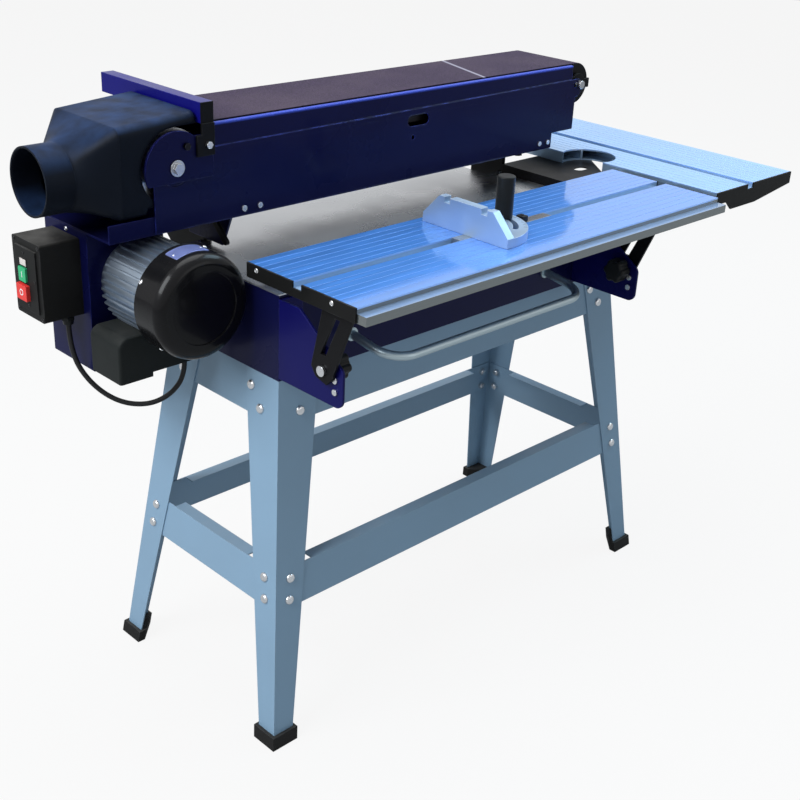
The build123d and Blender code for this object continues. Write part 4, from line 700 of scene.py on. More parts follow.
@dataclass(frozen=True)
class Abrasive(Finish):
    """Cloth belt coated with abrasive grit, with its joint across the top run."""

    grit_scale: float = 700.0
    grit_height: float = 0.5 * MM
    loaded: Colour = (0.09, 0.065, 0.085)
    joint_x: float = 0.0
    joint_width: float = 7.0 * MM
    joint_slant: float = 0.0
    joint_colour: Colour = (0.35, 0.33, 0.4)
    top_height: float = 0.95

    def wire(self, graph: Graph, shader: bpy.types.Node) -> None:
        """Wire the grit, its loaded patches and the pale joint.

        Args:
            graph: the material's graph.
            shader: its shader.
        """
        grit = graph.add("TexVoronoi", feature="F1")
        graph.feed(grit.inputs["Vector"], graph.place())
        graph.feed(grit.inputs["Scale"], self.grit_scale)
        sparkle = graph.spread(grit.outputs["Color"], 0.2, 0.9)
        tone = graph.mix(sparkle, shade(self.colour, 0.55), shade(self.colour, 1.5))
        patches = graph.spread(graph.noise(7.0, 5.0), 0.45, 0.75, 0.0, 0.35)
        tone = graph.mix(patches, tone, self.loaded)
        graph.feed(shader.inputs["Base Color"], graph.mix(self.joint_mask(graph), tone, self.joint_colour))
        height = graph.math("MULTIPLY", grit.outputs["Distance"], -1.0)
        self.bump(graph, shader, height, 0.8, self.grit_height)

    def joint_mask(self, graph: Graph) -> bpy.types.NodeSocket:
        """Mask of the joint's slanted strip on the upper run.

        Args:
            graph: the material's graph.

        Returns:
            The mask's socket.
        """
        x, y, z = graph.split(graph.place())
        slanted = graph.math("SUBTRACT", x, graph.math("MULTIPLY", y, self.joint_slant))
        away = graph.math("ABSOLUTE", graph.math("SUBTRACT", slanted, self.joint_x))
        strip = graph.spread(away, self.joint_width * 0.35, self.joint_width * 0.6, 0.8, 0.0)
        above = graph.math("GREATER_THAN", z, self.top_height)
        return graph.math("MULTIPLY", strip, above)


@dataclass(frozen=True)
class Lens(Finish):
    """Small frosted window of an indicator lamp."""

    coat: float = 0.6
    rib_depth: float = 0.1 * MM

    def wire(self, graph: Graph, shader: bpy.types.Node) -> None:
        """Wire a milky body with a faint ribbing.

        Args:
            graph: the material's graph.
            shader: its shader.
        """
        ribs = effects.use(
            graph, Effect.DRAWN_LINES, across_x=1.0, across_y=1.0, across_z=30.0, scale=60.0
        )
        tone = graph.mix(ribs.outputs["Tone"], shade(self.colour, 0.8), self.colour)
        graph.feed(shader.inputs["Base Color"], tone)
        graph.feed(shader.inputs["Coat Weight"], self.coat)
        self.bump(graph, shader, ribs.outputs["Height"], 0.3, self.rib_depth)


class Finishes:
    """Every finish on the machine."""

    STAND = Enamel(
        "stand_paint", Slot.STAND_GREY, (0.225, 0.355, 0.49), 0.45, 0.35,
        coat=0.08, coat_roughness=0.3, spread=0.06,
    )
    # One machine blue paint in lit and shaded copies: the lit blue for the fence, painted shade for panels,
    # frame, plates and cover, and half of it for the table brackets. The bright blue edge colour is a
    # painted highlight.
    BLUE = Enamel(
        "machine_blue", Slot.MACHINE_BLUE, (0.006, 0.006, 0.17), 0.3, 0.1, 2.0 * MM,
        coat=0.12, wear=0.3, worn_and_highlight=(0.06, 0.09, 0.6), dust=0.01, flake=0.25,
    )
    SHADED_BLUE = Enamel(
        "shaded_blue", Slot.MACHINE_BLUE, (0.004, 0.005, 0.045), 0.3, 0.08, 2.0 * MM,
        coat=0.04, wear=0.5, worn_and_highlight=(0.04, 0.06, 0.5), dust=0.005, flake=0.12,
    )
    HALF_SHADED_BLUE = replace(SHADED_BLUE, name="half_shaded_blue", colour=(0.005, 0.005, 0.085))
    # The cover: the shaded copy of the blue, with painted highlights on its edges and along its top bend.
    COVER = FoldedEnamel(
        "cover_blue", Slot.MACHINE_BLUE, (0.004, 0.005, 0.045), 0.3, 0.08, 4.0 * MM,
        coat=0.06, wear=1.0, worn_and_highlight=(0.07, 0.11, 0.7), dust=0.005, flake=0.12,
    )
    BLACK_STEEL = Enamel(
        "black_steel", Slot.BLACK_STEEL, (0.005, 0.005, 0.006), 0.4, 0.08,
        coat=0.02, wear=0.15, dust=0.004,
    )
    FAN_COVER = Enamel(
        "fan_cover", Slot.BLACK_STEEL, (0.004, 0.004, 0.005), 0.26, 0.12,
        coat=0.15, wear=0.1, dust=0.01,
    )
    # The hood's blue film on its upward faces is a painted sky sheen.
    HOOD = Moulding(
        "hood_plastic", Slot.BLACK_PLASTIC, (0.003, 0.005, 0.010), 0.42, 0.06, 7.0 * MM,
        scuff=(0.05, 0.08, 0.14), dust=0.16, dust_and_sky_sheen_tone=(0.09, 0.22, 0.62),
    )
    SWITCH = Moulding(
        "switch_plastic", Slot.BLACK_PLASTIC, (0.008, 0.008, 0.008), 0.5, 0.1,
        grain_scale=1400.0, dust=0.14,
    )
    TERMINAL = Moulding(
        "terminal_plastic", Slot.BLACK_PLASTIC, (0.008, 0.010, 0.010), 0.5, 0.12, 3.0 * MM, dust=0.05
    )
    CAP = Moulding(
        "cap_plastic", Slot.BLACK_PLASTIC, (0.005, 0.005, 0.005), 0.45, 0.1,
        grain_scale=1600.0, dust=0.012,
    )
    KNOB = Moulding(
        "knob_plastic", Slot.BLACK_PLASTIC, (0.006, 0.007, 0.008), 0.36, 0.15,
        grain_scale=1500.0, dust=0.02,
    )
    CABLE = Moulding("cable_jacket", Slot.RUBBER, (0.009, 0.009, 0.010), 0.45, 0.25, grain_scale=2000.0)
    RUBBER = Moulding("foot_rubber", Slot.RUBBER, (0.007, 0.007, 0.007), 0.7, 0.2, grain_depth=0.12 * MM)
    # The tables' blue is a painted sky reflection on their top faces, paler on the end table.
    DECK = DeckMetal(
        "table_deck", Slot.TABLE_ALUMINIUM, (0.085, 0.34, 0.90), 0.5, 0.5, 0.3 * MM,
        axis=Axis.X, line_scale=8.0, film=1.0, film_ior=2.0,
    )
    END_DECK = DeckMetal(
        "end_deck", Slot.TABLE_ALUMINIUM, (0.25, 0.54, 0.93), 0.5, 0.5, 0.3 * MM,
        axis=Axis.Y, line_scale=8.0, line_strength=0.03, tarnish=0.03, film=1.0, film_ior=2.0,
    )
    CAST = Casting("mitre_casting", Slot.CAST_ALUMINIUM, (0.40, 0.53, 0.70), 0.45)
    FINS = Metal(
        "motor_fins", Slot.CAST_ALUMINIUM, (0.42, 0.50, 0.60), 0.36, axis=Axis.Y, line_strength=0.1
    )
    TRAY = Enamel(
        "tray_sheet", Slot.TRAY_PALE, (0.60, 0.62, 0.65), 0.26, 0.5,
        coat=0.0, peel_depth=0.004 * MM, wear=0.0, dust=0.02, spread=0.03, flake=0.9,
    )
    ZINC = Metal("bright_zinc", Slot.ZINC, (0.72, 0.73, 0.75), 0.24, axis=Axis.Z, line_scale=60.0)
    BOLTS = PartBlacked("unit_bolts", Slot.ZINC, (0.72, 0.73, 0.75), 0.24, axis=Axis.Z, line_scale=60.0)
    PLATE = Metal("rating_plate", Slot.ZINC, (0.34, 0.42, 0.88), 0.45, axis=Axis.Y, line_scale=25.0)
    STEEL = Metal("turned_steel", Slot.STEEL, (0.5, 0.51, 0.53), 0.3, axis=Axis.Y, line_scale=40.0)
    # The platen is near black: painted shade inside the unit, seen through the cover's slot.
    PLATEN = Metal("platen_painted_shade", Slot.STEEL, (0.02, 0.02, 0.024), 0.5, axis=Axis.X, line_scale=40.0)
    HANDLE = Metal("handle_steel", Slot.STEEL, (0.46, 0.56, 0.61), 0.42, axis=Axis.X, line_scale=20.0)
    BELT = Abrasive("grit_belt", Slot.ABRASIVE, (0.036, 0.023, 0.048), 0.75, 0.2)
    GREEN = Moulding(
        "green_button", Slot.GREEN, (0.02, 0.34, 0.14), 0.35, 0.3, grain_strength=0.15, dust=0.0
    )
    RED = Moulding("red_button", Slot.RED, (0.62, 0.03, 0.025), 0.35, 0.3, grain_strength=0.15, dust=0.0)
    DARK_SCREW = Metal(
        "blacked_screw", Slot.BLACK_STEEL, (0.03, 0.03, 0.032), 0.4, axis=Axis.Z, line_scale=60.0
    )
    MARK_DARK = Enamel("scale_ink", Slot.BLACK_PLASTIC, (0.02, 0.02, 0.025), 0.5, 0.2, wear=0.0, dust=0.0)
    MARK = Enamel("white_mark", Slot.TRAY_PALE, (0.8, 0.8, 0.8), 0.4, wear=0.0, dust=0.0)
    LENS = Lens("lamp_lens", Slot.TRAY_PALE, (0.75, 0.68, 0.64), 0.25)


def put(name: str, data: bpy.types.ID) -> bpy.types.Object:
    """Put an object into the scene.

    Args:
        name: the object's name.
        data: its mesh, curve, camera or light.

    Returns:
        The new object.
    """
    made = bpy.data.objects.new(name, data)
    bpy.context.scene.collection.objects.link(made)
    return made


def dress(finish: Finish, *nodes: str) -> None:
    """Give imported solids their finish.

    Args:
        finish: what they are covered with.
        nodes: the solids' names.
    """
    for node in nodes:
        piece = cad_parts[node]
        piece.data.materials.clear()
        piece.data.materials.append(finish.material())
        log.info("dressed %s in %s", node, finish.name)


def ray(degrees: float) -> Vector:
    """Direction at an angle in the upright plane, from the right over the top."""
    turn = math.radians(degrees)
    return Vector((math.cos(turn), 0.0, math.sin(turn)))


@dataclass
class Form:
    """A small piece's mesh while it is being shaped, in the frame's metres."""

    mesh: bmesh.types.BMesh = field(default_factory=bmesh.new)
    smooth_below: float = math.radians(40)
    sides: int = 48
    dome_rings: int = 14
    dome_fall: float = 0.55
    seat_sunk: float = 0.1
    recess_half: float = 0.17
    recess_reach: float = 0.6
    recess_depth: float = 0.55

    def turned(self, outline: list[tuple[float, float]], place: Vector, axis: Vector) -> None:
        """Turn an outline round an axis.

        Args:
            outline: radius and height of each point of the outline.
            place: where height is 0 on the axis.
            axis: the axis' direction.
        """
        side = axis.orthogonal().normalized()
        other = axis.cross(side)
        rings = []
        for radius, height in outline:
            foot = place + height * axis
            angles = [math.tau * step / self.sides for step in range(self.sides if radius else 1)]
            reaches = [radius * (math.cos(a) * side + math.sin(a) * other) for a in angles]
            rings.append([self.mesh.verts.new(foot + reach) for reach in reaches])
        for lower, upper in zip(rings, rings[1:]):
            self.band(lower, upper)

    def band(self, lower: list[bmesh.types.BMVert], upper: list[bmesh.types.BMVert]) -> None:
        """Join two rings of points, either of which may be a single point.

        Args:
            lower: the first ring.
            upper: the second ring.
        """
        for step in range(max(len(lower), len(upper))):
            pairs = [(lower, step), (lower, step + 1), (upper, step + 1), (upper, step)]
            corners = list(dict.fromkeys(ring[index % len(ring)] for ring, index in pairs))
            if len(corners) > 2:
                self.mesh.faces.new(corners)

    def screw(self, place: Vector, axis: Vector, radius: float, height: float) -> None:
        """Add a domed screw head with a cross recess.

        Args:
            place: middle of its seat.
            axis: direction that it faces.
            radius: of the head.
            height: of the head.
        """
        shares = [ring / self.dome_rings for ring in range(self.dome_rings + 1)]
        dome = [(radius * share, height * (1.0 - self.dome_fall * share**3)) for share in shares]
        seat = -self.seat_sunk * height
        first = len(self.mesh.verts)
        self.turned([*dome, (radius, seat), (0.0, seat)], place, axis)
        self.mesh.verts.ensure_lookup_table()
        side = axis.orthogonal().normalized()
        other = axis.cross(side)
        half = self.recess_half * radius
        end = self.recess_reach * radius
        for point in self.mesh.verts[first:]:
            reach = point.co - place
            near, far = sorted((abs(reach.dot(side)), abs(reach.dot(other))))
            if reach.dot(axis) > 0 and near < half and far < end:
                point.co -= self.recess_depth * height * axis

    def block(self, low: Vector, high: Vector, rounding: float) -> None:
        """Add a block with rounded edges.

        Args:
            low: its lowest corner.
            high: its highest corner.
            rounding: radius of its edges.
        """
        corners = bmesh.ops.create_cube(self.mesh, size=1.0)["verts"]
        for corner in corners:
            share = corner.co + Vector((0.5, 0.5, 0.5))
            corner.co = Vector(a + s * (b - a) for a, b, s in zip(low, high, share))
        edges = dict.fromkeys(edge for corner in corners for edge in corner.link_edges)
        bmesh.ops.bevel(
            self.mesh, geom=list(edges), offset=rounding, segments=3, profile=0.5, affect="EDGES"
        )

    def piece(self, name: str, finish: Finish, body: Body) -> bpy.types.Object:
        """Turn the mesh into a piece that rides on a body.

        Args:
            name: the piece's name.
            finish: what it is covered with.
            body: what it moves with.

        Returns:
            The new object.
        """
        bmesh.ops.recalc_face_normals(self.mesh, faces=self.mesh.faces)
        for face in self.mesh.faces:
            face.smooth = True
        for edge in self.mesh.edges:
            edge.smooth = edge.is_manifold and edge.calc_face_angle(math.pi) < self.smooth_below
        data = bpy.data.meshes.new(name)
        self.mesh.to_mesh(data)
        self.mesh.free()
        data.materials.append(finish.material())
        made = put(name, data)
        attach(made, body.value)
        log.info("made %s", name)
        return made


@dataclass(frozen=True)
class Lamp:
    """One soft box, with its width and height in metres and the point that it faces."""

    name: str
    place: Point
    size: tuple[float, float]
    watts: float
    tint: Colour = (0.97, 0.99, 1.0)
    aim: Point = (0.0, 0.0, 0.7)

    def hang(self) -> None:
        """Put the lamp in its place and turn it to its aim."""
        data = bpy.data.lights.new(self.name, "AREA")
        data.shape = "RECTANGLE"
        data.size, data.size_y = self.size
        data.energy = self.watts
        data.color = self.tint
        lamp = put(self.name, data)
        lamp.location = self.place
        way = Vector(self.aim) - Vector(self.place)
        lamp.rotation_euler = way.to_track_quat("-Z", "Y").to_euler()


@dataclass
class Studio:
    """Camera at the photograph's angle, pale floor and soft light."""

    lens: float = 55.724
    sensor: float = 36.0
    azimuth: float = -45.635
    elevation: float = 25.532
    roll: float = 2.859
    stand: Point = (-1.50503, -1.40065, 1.37585)
    floor_half: float = 9.0
    floor_tones: tuple[Colour, Colour] = ((0.44, 0.44, 0.44), (0.47, 0.47, 0.47))
    floor_in_view: float = 0.9
    floor_in_gloss: float = 0.2
    world_light: float = 0.22
    world_tint: Colour = (0.93, 0.97, 1.0)
    lamps: tuple[Lamp, ...] = (
        Lamp("left_window", (-3.9, 0.3, 3.6), (3.0, 2.6), 230.0, (0.93, 0.97, 1.0)),
        Lamp("overhead", (0.3, 0.6, 4.6), (3.5, 3.0), 120.0),
        Lamp("right_sky", (2.8, -0.7, 3.5), (2.4, 1.8), 75.0, (0.55, 0.82, 1.0)),
        Lamp("front_fill", (1.6, -4.5, 1.6), (2.5, 2.0), 12.0),
    )

    def build(self) -> None:
        """Set up camera, floor, world, lamps and view transform."""
        self.camera()
        self.floor()
        self.world()
        for lamp in self.lamps:
            lamp.hang()
        bpy.context.scene.view_settings.view_transform = "Standard"
        log.info("studio ready")

    def camera(self) -> None:
        """Set up the camera, with no shift and no depth of field."""
        turn = math.radians(self.azimuth)
        rise = math.radians(self.elevation)
        lean = math.radians(self.roll)
        back = Vector((math.sin(turn) * math.cos(rise), -math.cos(turn) * math.cos(rise), math.sin(rise)))
        level = (-back).cross(UP).normalized()
        upright = level.cross(-back)
        right = math.cos(lean) * level + math.sin(lean) * upright
        up = -math.sin(lean) * level + math.cos(lean) * upright
        data = bpy.data.cameras.new("photo_camera")
        data.sensor_width = self.sensor
        data.lens = self.lens
        camera = put("photo_camera", data)
        turned = Matrix((right, up, back)).transposed().to_4x4()
        camera.matrix_world = Matrix.Translation(self.stand) @ turned
        bpy.context.scene.camera = camera

    def floor(self) -> None:
        """Lay a pale floor that keeps a soft shadow."""
        shape = bmesh.new()
        bmesh.ops.create_grid(shape, x_segments=1, y_segments=1, size=self.floor_half)
        mesh = bpy.data.meshes.new("floor")
        shape.to_mesh(mesh)
        shape.free()
        mesh.materials.append(self.floor_material())
        put("floor", mesh)

    def floor_material(self) -> bpy.types.Material:
        """Wire the floor, which shows bright to the camera and dimmer in gloss.

        Returns:
            The material.
        """
        material = bpy.data.materials.new("pale_floor")
        material.use_nodes = True
        nodes = material.node_tree.nodes
        graph = Graph(material.node_tree)
        shader = nodes["Principled BSDF"]
        graph.feed(shader.inputs["Base Color"], graph.mix(graph.noise(60.0, 3.0), *self.floor_tones))
        graph.feed(shader.inputs["Roughness"], 0.9)
        graph.feed(shader.inputs["Specular IOR Level"], 0.1)
        path = graph.add("LightPath").outputs
        gloss = graph.math("MAXIMUM", path["Is Glossy Ray"], path["Is Transmission Ray"])
        gloss = graph.math("MULTIPLY", gloss, self.floor_in_gloss)
        direct = graph.math("MULTIPLY", path["Is Camera Ray"], self.floor_in_view)
        seen = graph.math("MAXIMUM", gloss, direct)
        graph.blend(seen, shader, graph.add("Emission"), nodes["Material Output"])
        return material

    def world(self) -> None:
        """Set an even pale surround, brighter where the camera, gloss or glass shows it."""
        world = bpy.data.worlds.new("pale_surround")
        bpy.context.scene.world = world
        world.use_nodes = True
        nodes = world.node_tree.nodes
        graph = Graph(world.node_tree)
        soft = nodes["Background"]
        graph.feed(soft.inputs["Color"], self.world_tint)
        graph.feed(soft.inputs["Strength"], self.world_light)
        path = graph.add("LightPath").outputs
        seen = graph.math("MAXIMUM", path["Is Camera Ray"], path["Is Glossy Ray"])
        seen = graph.math("MAXIMUM", seen, path["Is Transmission Ray"])
        graph.blend(seen, soft, graph.add("Background"), nodes["World Output"])


@dataclass
class MotorLead:
    """Cable from the switch box round to the motor's terminal box."""

    radius: float = 4.0 * MM
    length: float = 0.3071
    centre: Point = (-0.0410, 0.0225, 0.0)
    from_stand: tuple[Point, ...] = (
        (-0.5940, 0.1270, 0.660),
        (-0.5940, 0.1270, 0.612),
        (-0.5723, 0.1140, 0.560),
        (-0.5375, 0.0931, 0.525),
        (-0.4983, 0.0696, 0.517),
        (-0.4671, 0.0509, 0.534),
        (-0.4490, 0.0400, 0.566),
        (-0.4490, 0.0400, 0.594),
    )

    def build(self) -> None:
        """Run the cable along its route."""
        points = [tuple(a + b for a, b in zip(point, self.centre)) for point in self.from_stand]
        data = bpy.data.curves.new("motor_lead", "CURVE")
        data.dimensions = "3D"
        data.bevel_depth = self.radius
        data.bevel_resolution = 6
        data.resolution_u = 16
        data.use_fill_caps = True
        spline = data.splines.new("NURBS")
        spline.points.add(len(points) - 1)
        for control, point in zip(spline.points, points):
            control.co = (*point, 1.0)
        spline.order_u = 3
        spline.use_endpoint_u = True
        data.materials.append(Finishes.CABLE.material())
        lead = put("motor_lead", data)
        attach(lead, Body.UNIT.value)
        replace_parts(lead, "motor_cable")
        log.info("made motor_lead")
        dress(Finishes.KNOB, "cable_glands")


@dataclass
class Stand:
    """Splayed four-leg stand with its rails, feet and bolts."""

    corners: tuple[str, ...] = ("front_left", "front_right", "back_left", "back_right")

    def build(self) -> None:
        """Dress the stand's solids."""
        dress(Finishes.STAND, *("leg_" + corner for corner in self.corners), "stand_rails")
        dress(Finishes.RUBBER, "rubber_feet")
        dress(Finishes.ZINC, "stand_fasteners")


@dataclass
class Base:
    """Base box with its tray, handle, brackets and hinge posts."""

    def build(self) -> None:
        """Dress the base's solids."""
        dress(Finishes.SHADED_BLUE, "base_panels")
        dress(Finishes.TRAY, "top_tray")
        dress(Finishes.HANDLE, "handle_bar")
        dress(Finishes.HALF_SHADED_BLUE, "table_brackets")
        dress(Finishes.BLACK_STEEL, "hinge_posts", "end_table_support")
        dress(Finishes.STEEL, "tilt_pins")
        dress(Finishes.ZINC, "base_fasteners")


@dataclass
class Tables:
    """Front table on its arms, end table, caps and knobs."""

    ledge_zone: float = 22.0 * MM

    def build(self) -> None:
        """Dress the tables' solids and make the caps' screws."""
        low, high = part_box("front_table")
        deck = replace(Finishes.DECK, top=high.z, plain_until=low.y + self.ledge_zone)
        dress(deck, "front_table")
        dress(replace(Finishes.END_DECK, top=high.z), "end_table")
        dress(Finishes.CAP, "front_table_caps", "end_table_caps")
        dress(Finishes.BLACK_STEEL, "table_arms")
        self.cap_screws()
        dress(Finishes.KNOB, "table_lock_knob_left", "table_lock_knob_right")

    def cap_screws(self) -> None:
        """Make the domed screws that hold the front table's caps."""
        low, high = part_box("table_cap_screws")
        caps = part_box("front_table_caps")
        radius = (high.z - low.z) / 2
        height = caps[0].x - low.x
        form = Form()
        for face, way in ((caps[0].x, LEFT), (caps[1].x, RIGHT)):
            for y in (low.y + radius, high.y - radius):
                form.screw(Vector((face, y, low.z + radius)), way, radius, height)
        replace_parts(form.piece("cap_screws", Finishes.ZINC, Body.TABLE), "table_cap_screws")


@dataclass
class MitreGauge:
    """Mitre gauge that slides in the front table's slot."""

    body_height: float = 15.0 * MM
    pivot_behind_face: float = 25.0 * MM
    scale_radius: float = 77.0 * MM
    half_scale: int = 50
    tick_step: int = 5
    tick_lengths: tuple[float, float] = (4.0 * MM, 7.0 * MM)
    tick_width: float = 0.7 * MM
    tick_proud: float = 0.15 * MM
    pointer_reach: float = 92.0 * MM
    pointer_block: Point = (14.0 * MM, 15.0 * MM, 10.0 * MM)
    pointer_rounding: float = 1.2 * MM
    nose_length: float = 6.0 * MM
    nose_half: tuple[float, float] = (2.0 * MM, 0.8 * MM)
    nose_rounding: float = 0.4 * MM
    screw_radius: float = 3.5 * MM
    screw_height: float = 2.0 * MM

    def build(self) -> None:
        """Dress the gauge's solids, mark its scale and add its pointer."""
        dress(Finishes.STEEL, "mitre_bar")
        dress(Finishes.CAST, "mitre_head")
        dress(Finishes.KNOB, "mitre_handle")
        pivot = self.pivot()
        self.scale(pivot)
        self.pointer(pivot)

    def pivot(self) -> Vector:
        """Find the pivot on top of the head's body.

        Returns:
            Its place.
        """
        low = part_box("mitre_head")[0]
        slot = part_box("mitre_bar")
        middle = (slot[0].y + slot[1].y) / 2
        return Vector((low.x + self.pivot_behind_face, middle, low.z + self.body_height))

    def scale(self, pivot: Vector) -> None:
        """Mark every five degrees along the head's rim, with longer ticks at the tens.

        Args:
            pivot: the place that the head turns about.
        """
        half = Vector((0.0, self.tick_width / 2, 0.0))
        end = Vector((self.scale_radius, 0.0, self.tick_proud))
        form = Form()
        for degrees in range(-self.half_scale, self.half_scale + 1, self.tick_step):
            first = len(form.mesh.verts)
            length = self.tick_lengths[degrees % (2 * self.tick_step) == 0]
            start = Vector((self.scale_radius - length, 0.0, -self.tick_proud))
            form.block(start - half, end + half, self.tick_proud / 2)
            form.mesh.verts.ensure_lookup_table()
            place = Matrix.Translation(pivot) @ Matrix.Rotation(math.radians(degrees), 4, "Z")
            bmesh.ops.transform(form.mesh, matrix=place, verts=form.mesh.verts[first:])
        form.piece("mitre_scale", Finishes.MARK_DARK, Body.MITRE)

    def pointer(self, pivot: Vector) -> None:
        """Make the black pointer on the bar: a block with a thin nose and a screw on top.

        Args:
            pivot: the place that the head turns about.
        """
        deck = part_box("front_table")[1].z
        length, width, height = self.pointer_block
        nose = Vector((pivot.x + self.pointer_reach, pivot.y, deck + height / 2))
        near = nose + Vector((self.nose_length, -width / 2, -height / 2))
        far = near + Vector((length, width, height))
        form = Form()
        form.block(near, far, self.pointer_rounding)
        tip = nose - Vector((0.0, *self.nose_half))
        form.block(tip, nose + Vector((length, *self.nose_half)), self.nose_rounding)
        top = Vector(((near.x + far.x) / 2, pivot.y, far.z))
        form.screw(top, UP, self.screw_radius, self.screw_height)
        form.piece("mitre_pointer", Finishes.KNOB, Body.MITRE_BAR)


@dataclass
class BeltUnit:
    """Tilting unit with its plates, drums, belt, fence and hood."""

    joint_from_left: float = 0.7316
    joint_slant: float = 0.327
    top_run: float = 2.0 * MM
    black_bolt_width: float = 14.0 * MM

    def build(self) -> None:
        """Dress the unit's solids."""
        dress(Finishes.SHADED_BLUE, "back_plate", "lower_frame", "drum_end_plate", "motor_bracket")
        dress(replace(Finishes.COVER, bend_top=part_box("front_cover")[1].z), "front_cover")
        dress(Finishes.BLUE, "stop_fence")
        dress(Finishes.BLACK_STEEL, "fence_lug", "idler_drum", "idler_fork")
        dress(Finishes.PLATEN, "platen")
        dress(Finishes.HOOD, "dust_hood")
        dress(Finishes.STEEL, "drive_drum", "drive_shaft", "idler_axle", "drum_bearings", "idler_bearings")
        self.fasteners()
        dress(Finishes.BLACK_STEEL, "tilt_lock_lever", "tension_lever")
        self.belt()

    def fasteners(self) -> None:
        """Dress the bolts, the one on the drum's end plate in black."""
        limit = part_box("unit_fasteners")[0].x + self.black_bolt_width
        dress(replace(Finishes.BOLTS, blacked_until=limit), "unit_fasteners")

    def belt(self) -> None:
        """Dress the belt, with its joint where the photograph shows it."""
        low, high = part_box("sanding_belt")
        joint = low.x + (high.x - low.x) * self.joint_from_left
        belt = replace(
            Finishes.BELT,
            joint_x=joint - self.joint_slant * (low.y + high.y) / 2,
            joint_slant=self.joint_slant,
            top_height=high.z - self.top_run,
        )
        dress(belt, "sanding_belt")


@dataclass
class Drive:
    """Motor, pulleys, drive belt, guard and terminal box."""

    fan_cover: tuple[Vector, Vector] = field(default_factory=lambda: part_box("motor_fan_cover"))
    plate_angles: tuple[float, float] = (72.0, 113.0)
    plate_from_rear: tuple[float, float] = (9.0 * MM, 38.0 * MM)
    plate_corner: float = 2.5 * MM
    plate_rim: float = 1.8 * MM
    plate_sheet: float = 0.8 * MM
    plate_floor: float = 0.56 * MM
    plate_sunk: float = 0.3 * MM
    plate_cells: tuple[int, int] = (64, 36)
    rivet_radius: float = 1.7 * MM
    rivet_height: float = 0.9 * MM
    rivet_sunk: float = 0.3 * MM
    rivet_from_end: float = 3.5
    rivet_rings: int = 8
    rim_screw_angle: float = 149.8
    rim_screw_inset: float = 4.5 * MM
    screw_radius: float = 3.6 * MM
    screw_height: float = 2.2 * MM
    bracket_screw_from_front: float = 53.6 * MM
    bracket_screw_below_top: float = 5.0 * MM
    guard_screw_angles: tuple[float, float, float] = (90.0, 210.0, 330.0)

    def build(self) -> None:
        """Dress the drive's solids and add its plate and screws."""
        self.rating_plate()
        self.plate_rivets()
        self.rim_screws()
        self.bracket_screw()
        self.guard_screws()
        dress(Finishes.FINS, "motor_housing")
        dress(Finishes.FAN_COVER, "motor_fan_cover")
        dress(Finishes.STEEL, "motor_rotor", "motor_pulley", "drum_pulley")
        dress(Finishes.RUBBER, "drive_belt")
        dress(Finishes.BLACK_STEEL, "drive_guard")
        dress(Finishes.TERMINAL, "terminal_box")

    def on_fan_cover(self, degrees: float, y: float, away: float) -> Vector:
        """Place on the fan cover's round wall.

        Args:
            degrees: angle round its axis, from the right over the top.
            y: place along the axis.
            away: distance out from the wall.

        Returns:
            The point.
        """
        low, high = self.fan_cover
        radius = (high.x - low.x) / 2 + away
        turn = math.radians(degrees)
        x = (low.x + high.x) / 2 + radius * math.cos(turn)
        return Vector((x, y, (low.z + high.z) / 2 + radius * math.sin(turn)))

    def plate_ends(self) -> tuple[float, float]:
        """Find the rating plate's rear and front edges along the motor's axis.

        Returns:
            Their y.
        """
        rear, front = self.plate_from_rear
        return self.fan_cover[1].y - rear, self.fan_cover[1].y - front

    def rating_plate(self) -> None:
        """Make the blank rating plate, a thin curved sheet with a raised rim and round corners."""
        low, high = self.fan_cover
        start, end = self.plate_angles
        rear, front = self.plate_ends()
        arc = (high.x - low.x) / 2 * math.radians(end - start)
        across, along = self.plate_cells
        form = Form()
        grid = []
        for column in range(across + 1):
            share = column / across
            from_end = arc * min(share, 1.0 - share)
            short = max(0.0, self.plate_corner - from_end)
            inset = self.plate_corner - math.sqrt(self.plate_corner**2 - short**2)
            row = []
            for line in range(along + 1):
                y = rear - inset + (front - rear + 2 * inset) * (line / along)
                on_rim = min(from_end, rear - y, y - front) < self.plate_rim
                away = self.plate_sheet if on_rim else self.plate_floor
                row.append(form.mesh.verts.new(self.on_fan_cover(start + (end - start) * share, y, away)))
            grid.append(row)
        for left, right in zip(grid, grid[1:]):
            for line in range(along):
                form.mesh.faces.new((left[line], left[line + 1], right[line + 1], right[line]))
        bmesh.ops.recalc_face_normals(form.mesh, faces=form.mesh.faces)
        thickness = self.plate_sheet + self.plate_sunk
        bmesh.ops.solidify(form.mesh, geom=form.mesh.faces[:], thickness=thickness)
        form.piece("rating_plate", Finishes.PLATE, Body.UNIT)

    def plate_rivets(self) -> None:
        """Make the two round-headed rivets that hold the rating plate."""
        start, end = self.plate_angles
        middle = sum(self.plate_ends()) / 2
        angles = [math.pi / 2 * ring / self.rivet_rings for ring in range(self.rivet_rings + 1)]
        outline = [(self.rivet_radius * math.sin(a), self.rivet_height * math.cos(a)) for a in angles]
        outline += [(self.rivet_radius, -self.rivet_sunk), (0.0, -self.rivet_sunk)]
        form = Form()
        for degrees in (start + self.rivet_from_end, end - self.rivet_from_end):
            form.turned(outline, self.on_fan_cover(degrees, middle, self.plate_floor), ray(degrees))
        form.piece("plate_rivets", Finishes.ZINC, Body.UNIT)

    def rim_screws(self) -> None:
        """Make the four screws that hold the fan cover, round its rear edge."""
        rear = self.fan_cover[1].y - self.rim_screw_inset
        form = Form()
        for quarter in range(4):
            degrees = self.rim_screw_angle + 90.0 * quarter
            place = self.on_fan_cover(degrees, rear, 0.0)
            form.screw(place, ray(degrees), self.screw_radius, self.screw_height)
        form.piece("fan_cover_screws", Finishes.ZINC, Body.UNIT)

